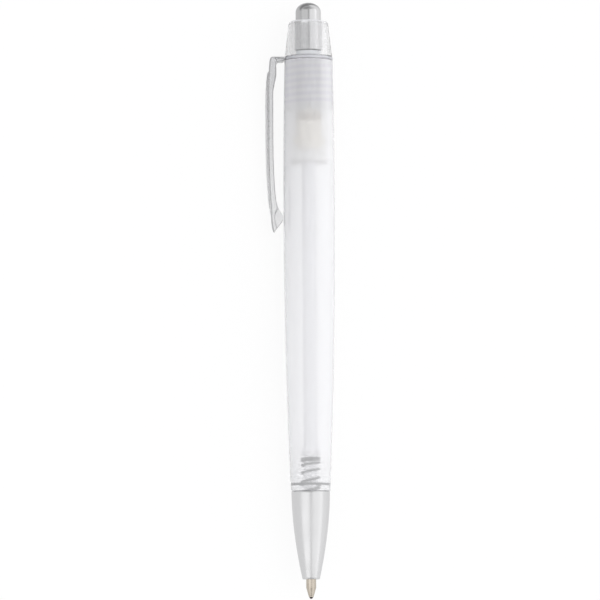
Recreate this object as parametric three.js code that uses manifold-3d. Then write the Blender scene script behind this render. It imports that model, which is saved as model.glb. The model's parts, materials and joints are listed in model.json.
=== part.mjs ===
import * as THREE from 'three';
import { mergeVertices } from 'three/addons/utils/BufferGeometryUtils.js';
import Module from 'manifold-3d';

const wasm = await Module();
wasm.setup();

// A retractable ballpoint pen with a frosted barrel, a clip and a screw-off top.
// Sizes are in millimetres. Stations along the pen are counted from the end of the
// writing ball up to the push button, with the point out for writing.

// Lengths of the outer pieces along the pen
const nibReach = 4.57;
const coneLength = 20.43;
const bellyFromShoulder = 65;
const ringThickness = 0.7;
const collarLength = 8.45;
const buttonProud = 4.45;
const buttonLength = 11.5;

// Radii of the outer pieces
const mouthRadius = 2.0;
const mouthChamfer = 0.2;
const coneTopRadius = 4.5;
const coneFullness = 1.8;
const barrelFootRadius = 4.6;
const bellyRadius = 6.03;
const barrelTopRadius = 5.66;
const collarFootRadius = 5.55;
const collarTopRadius = 4.7;
const collarFillet = 0.95;
const buttonRadius = 3.0;
const domeHeight = 2.3;

// Barrel floor and the spigot that the cone is pushed onto
const floorThickness = 1.8;
const coneSpigotLength = 6.9;
const coneSpigotRadius = 3.4;
const boreFootRadius = 3.65;

// Screw thread between the collar and the barrel, right-handed
const spigotLength = 11.4;
const threadPitch = 1.6;
const threadDepth = 0.5;
const threadRootWidth = 0.75;
const threadCrestWidth = 0.4;
const threadEndMargin = 0.4;
const threadRootRadius = 4.35;

// Travel of the push button: up to draw the point in, down past its lock
const retractTravel = 5.5;
const pressTravel = 1.2;

// Refill
const refillLength = 107;
const tubeRadius = 1.5;
const tubeBoreRadius = 1.15;
const nibRadius = 1.175;
const nibLipRadius = 0.6;
const nibLength = 11.2;
const nibTaperEnd = 2.7;
const nibFlangeLength = 1.0;
const nibShankLength = 4.2;
const inkChannelRadius = 0.3;
const ballRadius = 0.5;
const ballShow = 0.35;
const inkLength = 64;
const followerLength = 3;
const springEarsAt = 33.4;
const springEarLength = 2.0;
const springEarThickness = 0.5;

// Return spring
const springSeatDepth = 7.93;
const wireRadius = 0.225;
const springRadius = 1.95;
const activeCurls = 9;
const endCurls = 1.5;
const endCurlPitch = 0.9;

// Cam sleeve, plunger and rotor, which lock the point out
const sleeveRadius = 4.03;
const sleeveWall = 0.53;
const sleeveSkirt = 6.7;
const sleeveShoulderWall = 0.7;
const neckRadius = 3.65;
const coreRadius = 2.75;
const crownTeeth = 8;
const crownHeight = 1.9;
const rotorHeight = 8.8;
const rotorSocketDepth = 1.8;
const rotorSkirtRadius = 2.3;
const rotorSkirtHeight = 1.0;
const finCount = 4;
const finAngle = 20;
const finHeight = 1.8;
const finRise = 1.2;
const turnPerStroke = 45;
const camRamp = 0.9;
const pilotRadius = 1.5;
const pilotHeight = 3.0;
const pegRadius = 2.2;
const pegHeight = 5.5;
const earRise = 3.9;
const earHeight = 1.5;
const earWidth = 1.0;

// Clip
const clipReach = 10.15;
const clipLength = 41.1;
const clipWidth = 4.4;
const strapThickness = 1.2;
const ribThickness = 0.6;
const ribWidth = 2.8;
const ribTopDrop = 3.6;
const clipHingeRadius = 7.0;
const clipCornerRadius = 9.1;
const clipNeckThickness = 1.4;
const clipNeckDrop = 4.7;
const clipBendDrop = 8;
const clipTaperDrop = 24;
const clipFootRise = 3.5;
const clipTipRadius = 8.3;

// Clearances
const seatGap = 0.1;
const pressGap = 0.1;
const slideGap = 0.15;
const boreGap = 0.25;
const sleeveGap = 0.4;
const threadGap = 0.15;
const ballGap = 0.03;
const splitGap = 0.3;
const turnGap = 0.2;

// Fineness of the round shapes
const roundSides = 36;
const smallSides = 24;
const threadStepsPerTurn = 18;
const curlSteps = 8;
const wireSides = 5;
const curveSteps = 6;
const blockStepAngle = 10;
const blockRows = 4;
const toothSteps = 4;
const gapSamples = 32;

// How far one joined solid reaches into the next, and how close two points count as one
const overlapDepth = 0.1;
const mergeDistance = 1e-4;

// Stations along the pen: the refill sets where the rotor and the sleeve stand, and so the barrel's length
const mouthAt = nibReach;
const coneTopAt = mouthAt + coneLength;
const shoulderAt = coneTopAt + seatGap;
const rotorBottomAt = refillLength + seatGap - rotorSocketDepth;
const rotorTopAt = rotorBottomAt + rotorHeight;
const finBottomAt = rotorBottomAt + finRise;
const finTopAt = finBottomAt + finHeight;
const lugBottomAt = finTopAt + turnGap;
const sleeveBottomAt = lugBottomAt - sleeveSkirt;
const chamberTopAt = finTopAt + retractTravel + turnGap;
const sleeveShoulderAt = chamberTopAt + sleeveShoulderWall;
const spigotEndAt = sleeveShoulderAt + seatGap;
const barrelTopAt = spigotEndAt + spigotLength;
const ringBottomAt = barrelTopAt + seatGap;
const ringTopAt = ringBottomAt + ringThickness;
const collarBottomAt = ringTopAt + seatGap;
const collarTopAt = collarBottomAt + collarLength;
const buttonTopAt = collarTopAt + buttonProud;
const buttonBottomAt = buttonTopAt - buttonLength;
const neckTopAt = buttonBottomAt - pressTravel - seatGap;
const threadLowAt = spigotEndAt + threadEndMargin;
const threadHighAt = barrelTopAt - threadEndMargin;
const springSeatAt = mouthAt + springSeatDepth;
const clipTipAt = ringTopAt - clipLength;
const clipFootAt = clipTipAt + clipFootRise;

// Radii that follow from a neighbour and a clearance
const coreBoreRadius = coreRadius + slideGap;
const chamberRadius = sleeveRadius - sleeveWall;
const finRadius = chamberRadius - slideGap;
const springWellRadius = springRadius + wireRadius + boreGap;
const threadCrestRadius = threadRootRadius + threadDepth;
const barrelThreadRadius = threadCrestRadius + threadGap;
const ringBoreRadius = barrelThreadRadius;
const strapFaceRadius = clipReach - ribThickness;
const clipInnerRadius = strapFaceRadius - strapThickness;

// Turn of the rotor for each millimetre that it rises, in radians
const camLead = THREE.MathUtils.degToRad(turnPerStroke) / retractTravel;

// A turned solid from its half section: pairs of radius and station, with the outer wall rising.
function turned(section, sides = roundSides) {
  const points = section.map(([radius, station]) => new THREE.Vector2(radius, station));
  return new THREE.LatheGeometry(points, sides);
}

function ringSection(innerRadius, outerRadius, bottom, top) {
  return [
    [innerRadius, bottom],
    [outerRadius, bottom],
    [outerRadius, top],
    [innerRadius, top],
    [innerRadius, bottom],
  ];
}

// Points of a curve in the half section, for a radius and a station given as functions of 0 to 1.
function curve(radiusOf, stationOf, steps) {
  return Array.from({ length: steps + 1 }, (_, i) => [radiusOf(i / steps), stationOf(i / steps)]);
}

function signedVolume(positions, triangles) {
  const [a, b, c] = [new THREE.Vector3(), new THREE.Vector3(), new THREE.Vector3()];
  let volume = 0;
  for (let i = 0; i < triangles.length; i += 3) {
    a.fromArray(positions, 3 * triangles[i]);
    b.fromArray(positions, 3 * triangles[i + 1]);
    c.fromArray(positions, 3 * triangles[i + 2]);
    volume += a.dot(b.cross(c)) / 6;
  }
  return volume;
}

// A closed mesh from its points and triangles, turned so that its faces point outwards.
function closedGeometry(points, triangles) {
  const positions = points.flatMap((point) => point.toArray());
  if (signedVolume(positions, triangles) < 0) triangles.reverse();
  const geometry = new THREE.BufferGeometry();
  geometry.setAttribute('position', new THREE.Float32BufferAttribute(positions, 3));
  geometry.setIndex(triangles);
  return geometry;
}

// A tube whose rings all have the same number of points, closed by a strip of triangles at each end.
function tubeThrough(rings) {
  const sides = rings[0].length;
  const triangles = [];
  for (let ring = 0; ring + 1 < rings.length; ring += 1) {
    for (let side = 0; side < sides; side += 1) {
      const next = (side + 1) % sides;
      const [a, b] = [ring * sides + side, ring * sides + next];
      triangles.push(a, b, a + sides, b, b + sides, a + sides);
    }
  }
  const last = (rings.length - 1) * sides;
  for (let near = 0; near + 2 < sides - near; near += 1) {
    const far = sides - 1 - near;
    triangles.push(near, far, near + 1, last + near, last + near + 1, last + far);
    if (near + 1 < far - 1) {
      triangles.push(near + 1, far, far - 1, last + near + 1, last + far - 1, last + far);
    }
  }
  return closedGeometry(rings.flat(), triangles);
}

function polar(radius, angle, station) {
  return new THREE.Vector3(radius * Math.sin(angle), station, radius * Math.cos(angle));
}

// The solid of a closed mesh, for joining and cutting.
function solid(geometry) {
  const bare = geometry.clone();
  bare.deleteAttribute('normal');
  bare.deleteAttribute('uv');
  const merged = mergeVertices(bare, mergeDistance);
  const index = merged.index.array;
  const kept = [];
  for (let i = 0; i < index.length; i += 3) {
    const [a, b, c] = index.slice(i, i + 3);
    if (a !== b && b !== c && c !== a) kept.push(a, b, c);
  }
  const vertProperties = new Float32Array(merged.attributes.position.array);
  return new wasm.Manifold(new wasm.Mesh({ numProp: 3, vertProperties, triVerts: new Uint32Array(kept) }));
}

function geometryOf(body) {
  const mesh = body.getMesh();
  const geometry = new THREE.BufferGeometry();
  geometry.setAttribute('position', new THREE.BufferAttribute(mesh.vertProperties, 3));
  geometry.setIndex(new THREE.BufferAttribute(mesh.triVerts, 1));
  return geometry;
}

function box(width, height, depth, centre) {
  return solid(new THREE.BoxGeometry(width, height, depth).translate(...centre));
}

// The pen stands upright in this group while it is put together, and the group lays it down.
const pen = new THREE.Group();

function add(name, geometry, color, roughness, metalness) {
  const mesh = new THREE.Mesh(geometry, new THREE.MeshStandardMaterial({ color, roughness, metalness }));
  mesh.name = name;
  pen.add(mesh);
}

// Barrel: a frosted tube that swells to its belly and narrows a little at both ends.
function barrelRadius(station) {
  const bellyAt = shoulderAt + bellyFromShoulder;
  const below = station < bellyAt;
  const endRadius = below ? barrelFootRadius : barrelTopRadius;
  const endAt = below ? shoulderAt : barrelTopAt;
  const part = (station - bellyAt) / (endAt - bellyAt);
  return bellyRadius - (bellyRadius - endRadius) * part ** 2;
}

function barrelWall() {
  const bellyAt = shoulderAt + bellyFromShoulder;
  const lower = (u) => THREE.MathUtils.lerp(shoulderAt, bellyAt, u);
  const upper = (u) => THREE.MathUtils.lerp(bellyAt, barrelTopAt, u);
  const outerLower = curve((u) => barrelRadius(lower(u)), lower, 2 * curveSteps);
  const outerUpper = curve((u) => barrelRadius(upper(u)), upper, curveSteps).slice(1);
  const floorAt = shoulderAt + floorThickness;
  const counterboreAt = spigotEndAt - splitGap;
  const spigotBottomAt = coneTopAt - coneSpigotLength;
  return turned([
    [springWellRadius, spigotBottomAt],
    [coneSpigotRadius, spigotBottomAt],
    [coneSpigotRadius, shoulderAt],
    ...outerLower,
    ...outerUpper,
    [barrelThreadRadius, barrelTopAt],
    [barrelThreadRadius, counterboreAt],
    [sleeveRadius + sleeveGap, counterboreAt],
    [boreFootRadius, floorAt],
    [springWellRadius, floorAt],
    [springWellRadius, spigotBottomAt],
  ]);
}

// One right-handed thread ridge. Its foot is sunk into the wall that carries it.
function threadRidge(footRadius, crestRadius, startAt, endAt) {
  const turns = (endAt - startAt - threadRootWidth) / threadPitch;
  const steps = Math.round(turns * threadStepsPerTurn);
  const sunkRadius = footRadius + Math.sign(footRadius - crestRadius) * overlapDepth;
  const rings = Array.from({ length: steps + 1 }, (_, i) => {
    const angle = (i / threadStepsPerTurn) * 2 * Math.PI;
    const middle = startAt + threadRootWidth / 2 + (angle / (2 * Math.PI)) * threadPitch;
    return [
      polar(sunkRadius, angle, middle - threadRootWidth / 2),
      polar(crestRadius, angle, middle - threadCrestWidth / 2),
      polar(crestRadius, angle, middle + threadCrestWidth / 2),
      polar(sunkRadius, angle, middle + threadRootWidth / 2),
    ];
  });
  return solid(tubeThrough(rings));
}

const barrelRidge = threadRidge(
  barrelThreadRadius,
  threadRootRadius + threadGap,
  threadLowAt + threadPitch / 2,
  threadHighAt,
);
add('barrel', geometryOf(solid(barrelWall()).add(barrelRidge)), 0xe4e6ea, 0.35, 0);

// Tip cone: a silvered shell, pushed onto the barrel's spigot, with the seat of the spring inside.
const nibFlangeAt = nibLength - nibFlangeLength;
const nibBoreRadius = nibRadius + boreGap;
const tubeRoomAt = nibFlangeAt - pressTravel - splitGap;
const socketAt = coneTopAt - coneSpigotLength - seatGap;

function coneRadius(station) {
  const part = (coneTopAt - station) / coneLength;
  return coneTopRadius - (coneTopRadius - mouthRadius) * part ** coneFullness;
}

const coneStation = (u) => THREE.MathUtils.lerp(mouthAt + mouthChamfer, coneTopAt, u);
add('tip_cone', turned([
  [nibBoreRadius, mouthAt],
  [mouthRadius - mouthChamfer, mouthAt],
  ...curve((u) => coneRadius(coneStation(u)), coneStation, 2 * curveSteps),
  [coneSpigotRadius + pressGap, coneTopAt],
  [coneSpigotRadius + pressGap, socketAt],
  [springWellRadius, socketAt],
  [springWellRadius, springSeatAt],
  [tubeRadius + boreGap, springSeatAt],
  [tubeRadius + boreGap, tubeRoomAt],
  [nibBoreRadius, tubeRoomAt],
  [nibBoreRadius, mouthAt],
]), 0xb9babd, 0.35, 0.9);

// Collar: the frosted cap round the button, with the threaded spigot that screws into the barrel.
const collarBoreRadius = buttonRadius + boreGap;
const filletAt = collarTopAt - collarFillet;
const collarFilletArc = curve(
  (u) => collarTopRadius - collarFillet * (1 - Math.cos((u * Math.PI) / 2)),
  (u) => filletAt + collarFillet * Math.sin((u * Math.PI) / 2),
  curveSteps,
);
const collarWall = solid(turned([
  [neckRadius + pressGap, spigotEndAt],
  [threadRootRadius, spigotEndAt],
  [threadRootRadius, collarBottomAt],
  [collarFootRadius, collarBottomAt],
  ...collarFilletArc,
  [collarBoreRadius, collarTopAt],
  [collarBoreRadius, neckTopAt + seatGap],
  [neckRadius + pressGap, neckTopAt + seatGap],
  [neckRadius + pressGap, spigotEndAt],
]));
const collarRidge = threadRidge(threadRootRadius, threadCrestRadius, threadLowAt, threadHighAt);
add('collar', geometryOf(collarWall.add(collarRidge)), 0xdfe2e6, 0.35, 0);

// Clip ring: a flat washer held between collar and barrel, with the tab that the clip springs from.
const tabInnerRadius = (ringBoreRadius + barrelTopRadius) / 2;
const tabLength = clipHingeRadius - splitGap / 2 - tabInnerRadius;
const ringWall = solid(turned(ringSection(ringBoreRadius, barrelTopRadius, ringBottomAt, ringTopAt)));
const tab = box(tabLength, ringThickness, clipWidth, [
  -tabInnerRadius - tabLength / 2,
  ringBottomAt + ringThickness / 2,
  0,
]);
const ringHole = solid(turned([
  [0, ringBottomAt - overlapDepth],
  [ringBoreRadius, ringBottomAt - overlapDepth],
  [ringBoreRadius, ringTopAt + overlapDepth],
  [0, ringTopAt + overlapDepth],
]));
add('clip_ring', geometryOf(ringWall.add(tab).subtract(ringHole)), 0xc9cbce, 0.4, 0);

// Clip arm: a strap that bends down from the tab, with a raised rib outside and a foot at its end.
function plate(width, draw) {
  const shape = new THREE.Shape();
  draw(shape);
  const settings = { depth: width, bevelEnabled: false, curveSegments: curveSteps };
  return solid(new THREE.ExtrudeGeometry(shape, settings).translate(0, 0, -width / 2));
}

const clipNeckInner = clipCornerRadius - clipNeckThickness;
const bendAt = ringTopAt - clipBendDrop;
const taperAt = ringTopAt - clipTaperDrop;
const sweepAt = (taperAt + clipTipAt) / 2;
const cornerRound = ringThickness / 2;
const tipRound = strapThickness / 4;

const strap = plate(clipWidth, (shape) => {
  const footRadius = barrelRadius(clipFootAt) + seatGap;
  const hingeSide = clipHingeRadius + splitGap / 2;
  shape.moveTo(-hingeSide, ringTopAt);
  shape.lineTo(-hingeSide, ringBottomAt);
  shape.lineTo(-clipNeckInner, ringBottomAt);
  shape.lineTo(-clipNeckInner, ringTopAt - clipNeckDrop);
  shape.lineTo(-clipInnerRadius, bendAt);
  shape.lineTo(-clipInnerRadius, taperAt);
  shape.quadraticCurveTo(-clipInnerRadius, sweepAt, -footRadius, clipFootAt);
  shape.lineTo(-clipTipRadius + tipRound, clipTipAt);
  shape.lineTo(-clipTipRadius, clipTipAt);
  shape.quadraticCurveTo(-strapFaceRadius, sweepAt, -strapFaceRadius, taperAt);
  shape.lineTo(-strapFaceRadius, bendAt);
  shape.lineTo(-clipCornerRadius, ringTopAt - cornerRound);
  shape.quadraticCurveTo(-clipCornerRadius, ringTopAt, -clipCornerRadius + cornerRound, ringTopAt);
  shape.closePath();
});

const rib = plate(ribWidth, (shape) => {
  const sunkRadius = strapFaceRadius - strapThickness / 2;
  const ribTopAt = ringTopAt - ribTopDrop;
  const ribEndAt = clipTipAt + tipRound;
  shape.moveTo(-clipCornerRadius + strapThickness / 2, ribTopAt);
  shape.lineTo(-sunkRadius, bendAt);
  shape.lineTo(-sunkRadius, taperAt);
  shape.quadraticCurveTo(-sunkRadius, sweepAt, -clipTipRadius + tipRound, ribEndAt);
  shape.lineTo(-clipTipRadius - tipRound, ribEndAt);
  shape.quadraticCurveTo(-clipReach, sweepAt, -clipReach, taperAt);
  shape.lineTo(-clipReach, bendAt);
  shape.quadraticCurveTo(-clipReach, (bendAt + ribTopAt) / 2, -clipCornerRadius - overlapDepth, ribTopAt);
  shape.closePath();
});
add('clip_arm', geometryOf(strap.add(rib)), 0xc9cbce, 0.4, 0);

// Push button: a silvered cup with a domed top, pressed onto the plunger's peg.
const pegTopAt = buttonBottomAt + pegHeight;
const domeAt = buttonTopAt - domeHeight;
add('push_button', turned([
  [0, pegTopAt + seatGap],
  [pegRadius + pressGap, pegTopAt + seatGap],
  [pegRadius + pressGap, buttonBottomAt],
  [buttonRadius, buttonBottomAt],
  ...curve(
    (u) => buttonRadius * Math.cos((u * Math.PI) / 2),
    (u) => domeAt + domeHeight * Math.sin((u * Math.PI) / 2),
    curveSteps,
  ),
]), 0xc3c4c6, 0.3, 0.9);

// A ring whose one end is cut into even V teeth: flat at one station, pointed at the other.
function crown(innerRadius, outerRadius, flatAt, valleyAt, tipAt) {
  const columns = crownTeeth * toothSteps;
  const rings = Array.from({ length: columns }, (_, i) => {
    const angle = (i / columns) * 2 * Math.PI;
    const part = Math.abs(((i / columns) * crownTeeth) % 1 - 0.5) * 2;
    const edgeAt = THREE.MathUtils.lerp(valleyAt, tipAt, part);
    return [
      polar(innerRadius, angle, flatAt),
      polar(outerRadius, angle, flatAt),
      polar(outerRadius, angle, edgeAt),
      polar(innerRadius, angle, edgeAt),
    ];
  });
  const triangles = [];
  for (let column = 0; column < columns; column += 1) {
    for (let side = 0; side < 4; side += 1) {
      const [a, b] = [column * 4 + side, column * 4 + ((side + 1) % 4)];
      const [c, d] = [((column + 1) % columns) * 4 + side, ((column + 1) % columns) * 4 + ((side + 1) % 4)];
      triangles.push(a, b, c, b, d, c);
    }
  }
  return solid(closedGeometry(rings.flat(), triangles));
}

// A block on the inside or outside of a round wall, leaning with the cam's lead.
// Its lower and upper ends slope by the ramp from one side to the other.
function leaningBlock(innerRadius, outerRadius, bottom, top, middleAngle, width, ramp) {
  const columns = Math.ceil(THREE.MathUtils.radToDeg(width) / blockStepAngle);
  const place = (u, v, radius) => {
    const station = THREE.MathUtils.lerp(bottom + ramp.low * u, top + ramp.high * u, v);
    return polar(radius, middleAngle + camLead * (station - finBottomAt) + (u - 0.5) * width, station);
  };
  const rings = Array.from({ length: blockRows + 1 }, (_, row) => {
    const v = row / blockRows;
    const outer = Array.from({ length: columns + 1 }, (_, i) => place(i / columns, v, outerRadius));
    const inner = Array.from({ length: columns + 1 }, (_, i) => place(1 - i / columns, v, innerRadius));
    return [...outer, ...inner];
  });
  return solid(tubeThrough(rings));
}

// The rotor's fins, or the sleeve's lugs between them, spaced evenly round the axis.
function spacedBlocks(body, width, offset, block) {
  const pitchAngle = (2 * Math.PI) / finCount;
  const angles = Array.from({ length: finCount }, (_, i) => (i + offset) * pitchAngle);
  return angles.reduce((joined, angle) => joined.add(block(angle, width)), body);
}

// Cam sleeve: held by its neck in the collar's spigot, with leaning lugs that steer the rotor's fins.
const finWidth = THREE.MathUtils.degToRad(finAngle);
const finRoom = (2 * turnGap) / coreBoreRadius;
const lugWidth = (2 * Math.PI) / finCount - finWidth - finRoom;
const sleeveWallSolid = solid(turned([
  [chamberRadius, sleeveBottomAt],
  [sleeveRadius, sleeveBottomAt],
  [sleeveRadius, sleeveShoulderAt],
  [neckRadius, sleeveShoulderAt],
  [neckRadius, neckTopAt],
  [coreBoreRadius, neckTopAt],
  [coreBoreRadius, chamberTopAt],
  [chamberRadius, chamberTopAt],
  [chamberRadius, sleeveBottomAt],
]));
const sleeveWithLugs = spacedBlocks(sleeveWallSolid, lugWidth, 0.5, (angle, width) => leaningBlock(
  coreBoreRadius,
  chamberRadius + overlapDepth,
  lugBottomAt,
  chamberTopAt + overlapDepth,
  angle,
  width,
  { low: camRamp, high: 0 },
));

// Plunger: a tube that carries the button and drives the rotor, kept from turning by two ears.
const plungerTipAt = rotorTopAt + turnGap;
const plungerValleyAt = plungerTipAt + crownHeight;
const plungerTopAt = buttonBottomAt - seatGap;
const plungerBore = pilotRadius + turnGap;
const earBottomAt = plungerTipAt + earRise;
const earReach = neckRadius - turnGap;
const windowBottomAt = earBottomAt - pressTravel - turnGap;
const windowTopAt = earBottomAt + earHeight + retractTravel + turnGap;
const windows = box(earWidth + 2 * turnGap, windowTopAt - windowBottomAt, 4 * neckRadius, [
  0,
  (windowTopAt + windowBottomAt) / 2,
  0,
]);
add('cam_sleeve', geometryOf(sleeveWithLugs.subtract(windows)), 0xd8dadd, 0.45, 0);

const plungerTube = solid(turned([
  [plungerBore, plungerValleyAt],
  [coreRadius, plungerValleyAt],
  [coreRadius, plungerTopAt],
  [pegRadius, plungerTopAt],
  [pegRadius, pegTopAt],
  [0, pegTopAt],
  [0, plungerTopAt],
  [plungerBore, plungerTopAt],
  [plungerBore, plungerValleyAt],
], smallSides));
const ears = box(earWidth, earHeight, 2 * earReach, [0, earBottomAt + earHeight / 2, 0]);
const plungerHollow = solid(turned([
  [0, plungerTipAt],
  [plungerBore, plungerTipAt],
  [plungerBore, plungerTopAt],
  [0, plungerTopAt],
], smallSides));
const plungerCrown = crown(
  plungerBore,
  coreRadius,
  plungerValleyAt + overlapDepth,
  plungerValleyAt,
  plungerTipAt,
);
const plungerBody = plungerTube.add(plungerCrown).add(ears).subtract(plungerHollow);
add('plunger', geometryOf(plungerBody), 0xa9acb2, 0.5, 0);

// Rotor: turned by the plunger's crown, held by its fins, and seated on the end of the refill.
const rotorValleyAt = rotorTopAt - crownHeight;
const rotorShoulderAt = rotorBottomAt + rotorSkirtHeight;
const rotorCore = solid(turned([
  [0, refillLength + seatGap],
  [tubeRadius + turnGap, refillLength + seatGap],
  [tubeRadius + turnGap, rotorBottomAt],
  [rotorSkirtRadius, rotorBottomAt],
  [coreRadius, rotorShoulderAt],
  [coreRadius, rotorValleyAt],
  [pilotRadius, rotorValleyAt],
  [pilotRadius, rotorTopAt + pilotHeight],
  [0, rotorTopAt + pilotHeight],
], smallSides));
const rotorCrown = crown(
  pilotRadius - overlapDepth,
  coreRadius,
  rotorValleyAt - overlapDepth,
  rotorValleyAt,
  rotorTopAt,
);
const rotorBody = spacedBlocks(rotorCore.add(rotorCrown), finWidth, 0, (angle, width) => leaningBlock(
  coreRadius - 2 * overlapDepth,
  finRadius,
  finBottomAt,
  finTopAt - camRamp / 2,
  angle,
  width,
  { low: 0, high: camRamp / 2 },
));
add('rotor', geometryOf(rotorBody), 0xe9e2cf, 0.5, 0);

// Refill tube: white plastic, pinched into two ears that the spring pushes on.
const tubeFrontAt = nibLength + seatGap;
const tubeSolid = solid(turned([
  [0, tubeFrontAt],
  [tubeRadius, tubeFrontAt],
  [tubeRadius, refillLength],
  [0, refillLength],
], smallSides));
const tubeHollow = solid(turned([
  [0, tubeFrontAt - overlapDepth],
  [tubeBoreRadius, tubeFrontAt - overlapDepth],
  [tubeBoreRadius, refillLength + overlapDepth],
  [0, refillLength + overlapDepth],
], smallSides));
const springEars = box(2 * (springRadius + wireRadius), springEarLength, springEarThickness, [
  0,
  springEarsAt + springEarLength / 2,
  0,
]);
add('refill_tube', geometryOf(tubeSolid.add(springEars).subtract(tubeHollow)), 0xf0efeb, 0.4, 0);

// Ink and the grease plug that follows it down the tube.
const shankRadius = tubeBoreRadius - pressGap;
const shankEndAt = nibLength + nibShankLength;
const inkRadius = tubeBoreRadius - pressGap;
const inkBottomAt = shankEndAt + seatGap;
const inkTopAt = inkBottomAt + inkLength;
add('ink_column', turned([
  [0, inkBottomAt],
  [inkRadius, inkBottomAt],
  [inkRadius, inkTopAt],
  [0, inkTopAt],
], smallSides), 0x1c1e4a, 0.3, 0);
add('ink_follower', turned([
  [0, inkTopAt + seatGap],
  [inkRadius, inkTopAt + seatGap],
  [inkRadius, inkTopAt + seatGap + followerLength],
  [0, inkTopAt + seatGap + followerLength],
], smallSides), 0xd9cf9a, 0.3, 0);

// Nib: turned nickel silver, with a flange against the tube and a shank pushed into its bore.
const lipBoreRadius = ballRadius + ballGap;
const ballSeatAt = 2 * ballRadius + ballGap;
add('nib', turned([
  [lipBoreRadius, ballShow],
  [nibLipRadius, ballShow],
  [nibRadius, nibTaperEnd],
  [nibRadius, nibFlangeAt],
  [tubeRadius, nibFlangeAt],
  [tubeRadius, nibLength],
  [shankRadius, nibLength],
  [shankRadius, shankEndAt],
  [inkChannelRadius, shankEndAt],
  [inkChannelRadius, ballSeatAt],
  [lipBoreRadius, ballSeatAt],
  [lipBoreRadius, ballShow],
], smallSides), 0xb9ad98, 0.3, 1);

// Writing ball: tungsten carbide, free to roll in the nib.
add('writing_ball', new THREE.SphereGeometry(ballRadius, smallSides, smallSides / 2)
  .translate(0, ballRadius, 0), 0x2b2b2e, 0.25, 0.8);

// Return spring: one right-handed wire from its seat in the cone to the refill's ears.
const springLowAt = springSeatAt + seatGap + wireRadius;
const springHighAt = springEarsAt - seatGap - wireRadius;
const endRise = endCurls * endCurlPitch;
const activePitch = (springHighAt - springLowAt - 2 * endRise) / activeCurls;
const springCurls = activeCurls + 2 * endCurls;

function springStation(curl) {
  const closing = Math.max(0, curl - endCurls - activeCurls);
  const opening = Math.min(curl, endCurls);
  const active = curl - opening - closing;
  return springLowAt + (opening + closing) * endCurlPitch + active * activePitch;
}

function springPoint(curl) {
  return polar(springRadius, 2 * Math.PI * curl, springStation(curl));
}

function wireRing(centre, along, outward) {
  const across = new THREE.Vector3().crossVectors(along, outward).normalize();
  return Array.from({ length: wireSides }, (_, i) => {
    const angle = (i / wireSides) * 2 * Math.PI;
    return centre.clone()
      .addScaledVector(outward, wireRadius * Math.cos(angle))
      .addScaledVector(across, wireRadius * Math.sin(angle));
  });
}

function springWire() {
  const steps = springCurls * curlSteps;
  const rings = [];
  for (let i = 0; i <= steps; i += 1) {
    const curl = i / curlSteps;
    const centre = springPoint(curl);
    const before = springPoint(Math.max(0, (i - 1) / curlSteps));
    const after = springPoint(Math.min(springCurls, (i + 1) / curlSteps));
    const along = after.sub(before).normalize();
    const outward = polar(1, 2 * Math.PI * curl, 0);
    rings.push(wireRing(centre, along, outward));
    const straight = { [0]: -1, [steps]: 1 }[i];
    if (straight) {
      const end = centre.clone().addScaledVector(along, 2 * wireRadius * straight);
      rings.splice(straight < 0 ? 0 : rings.length, 0, wireRing(end, along, outward));
    }
  }
  return tubeThrough(rings);
}

// The least gap between one curl of the wire and the next, measured on points along its middle.
function leastSpringGap() {
  const points = Array.from({ length: springCurls * gapSamples + 1 }, (_, i) => springPoint(i / gapSamples));
  let least = Infinity;
  for (let i = 0; i < points.length; i += 1) {
    for (let j = i + gapSamples / 2; j < points.length; j += 1) {
      least = Math.min(least, points[i].distanceTo(points[j]) - 2 * wireRadius);
    }
  }
  return least;
}
console.log(`spring wire: least gap to itself ${leastSpringGap().toFixed(2)} mm`);
add('spring', springWire(), 0x9a9ca0, 0.3, 1);

// The pen lies on a table with its point towards +X, on its barrel and on the lower edge of its clip.
const clipEdgeRadius = Math.hypot(strapFaceRadius, clipWidth / 2);
const clipEdgeAngle = Math.atan2(clipWidth / 2, strapFaceRadius);
const restAngle = Math.asin(bellyRadius / clipEdgeRadius) - clipEdgeAngle;
pen.rotation.set(restAngle, 0, Math.PI / 2);

const group = new THREE.Group();
group.add(pen);
const bounds = new THREE.Box3().setFromObject(group, true);
const middle = bounds.getCenter(new THREE.Vector3());
pen.position.set(-middle.x, -middle.y, -bounds.min.z);

export default group;
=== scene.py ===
import json
import math

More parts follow.
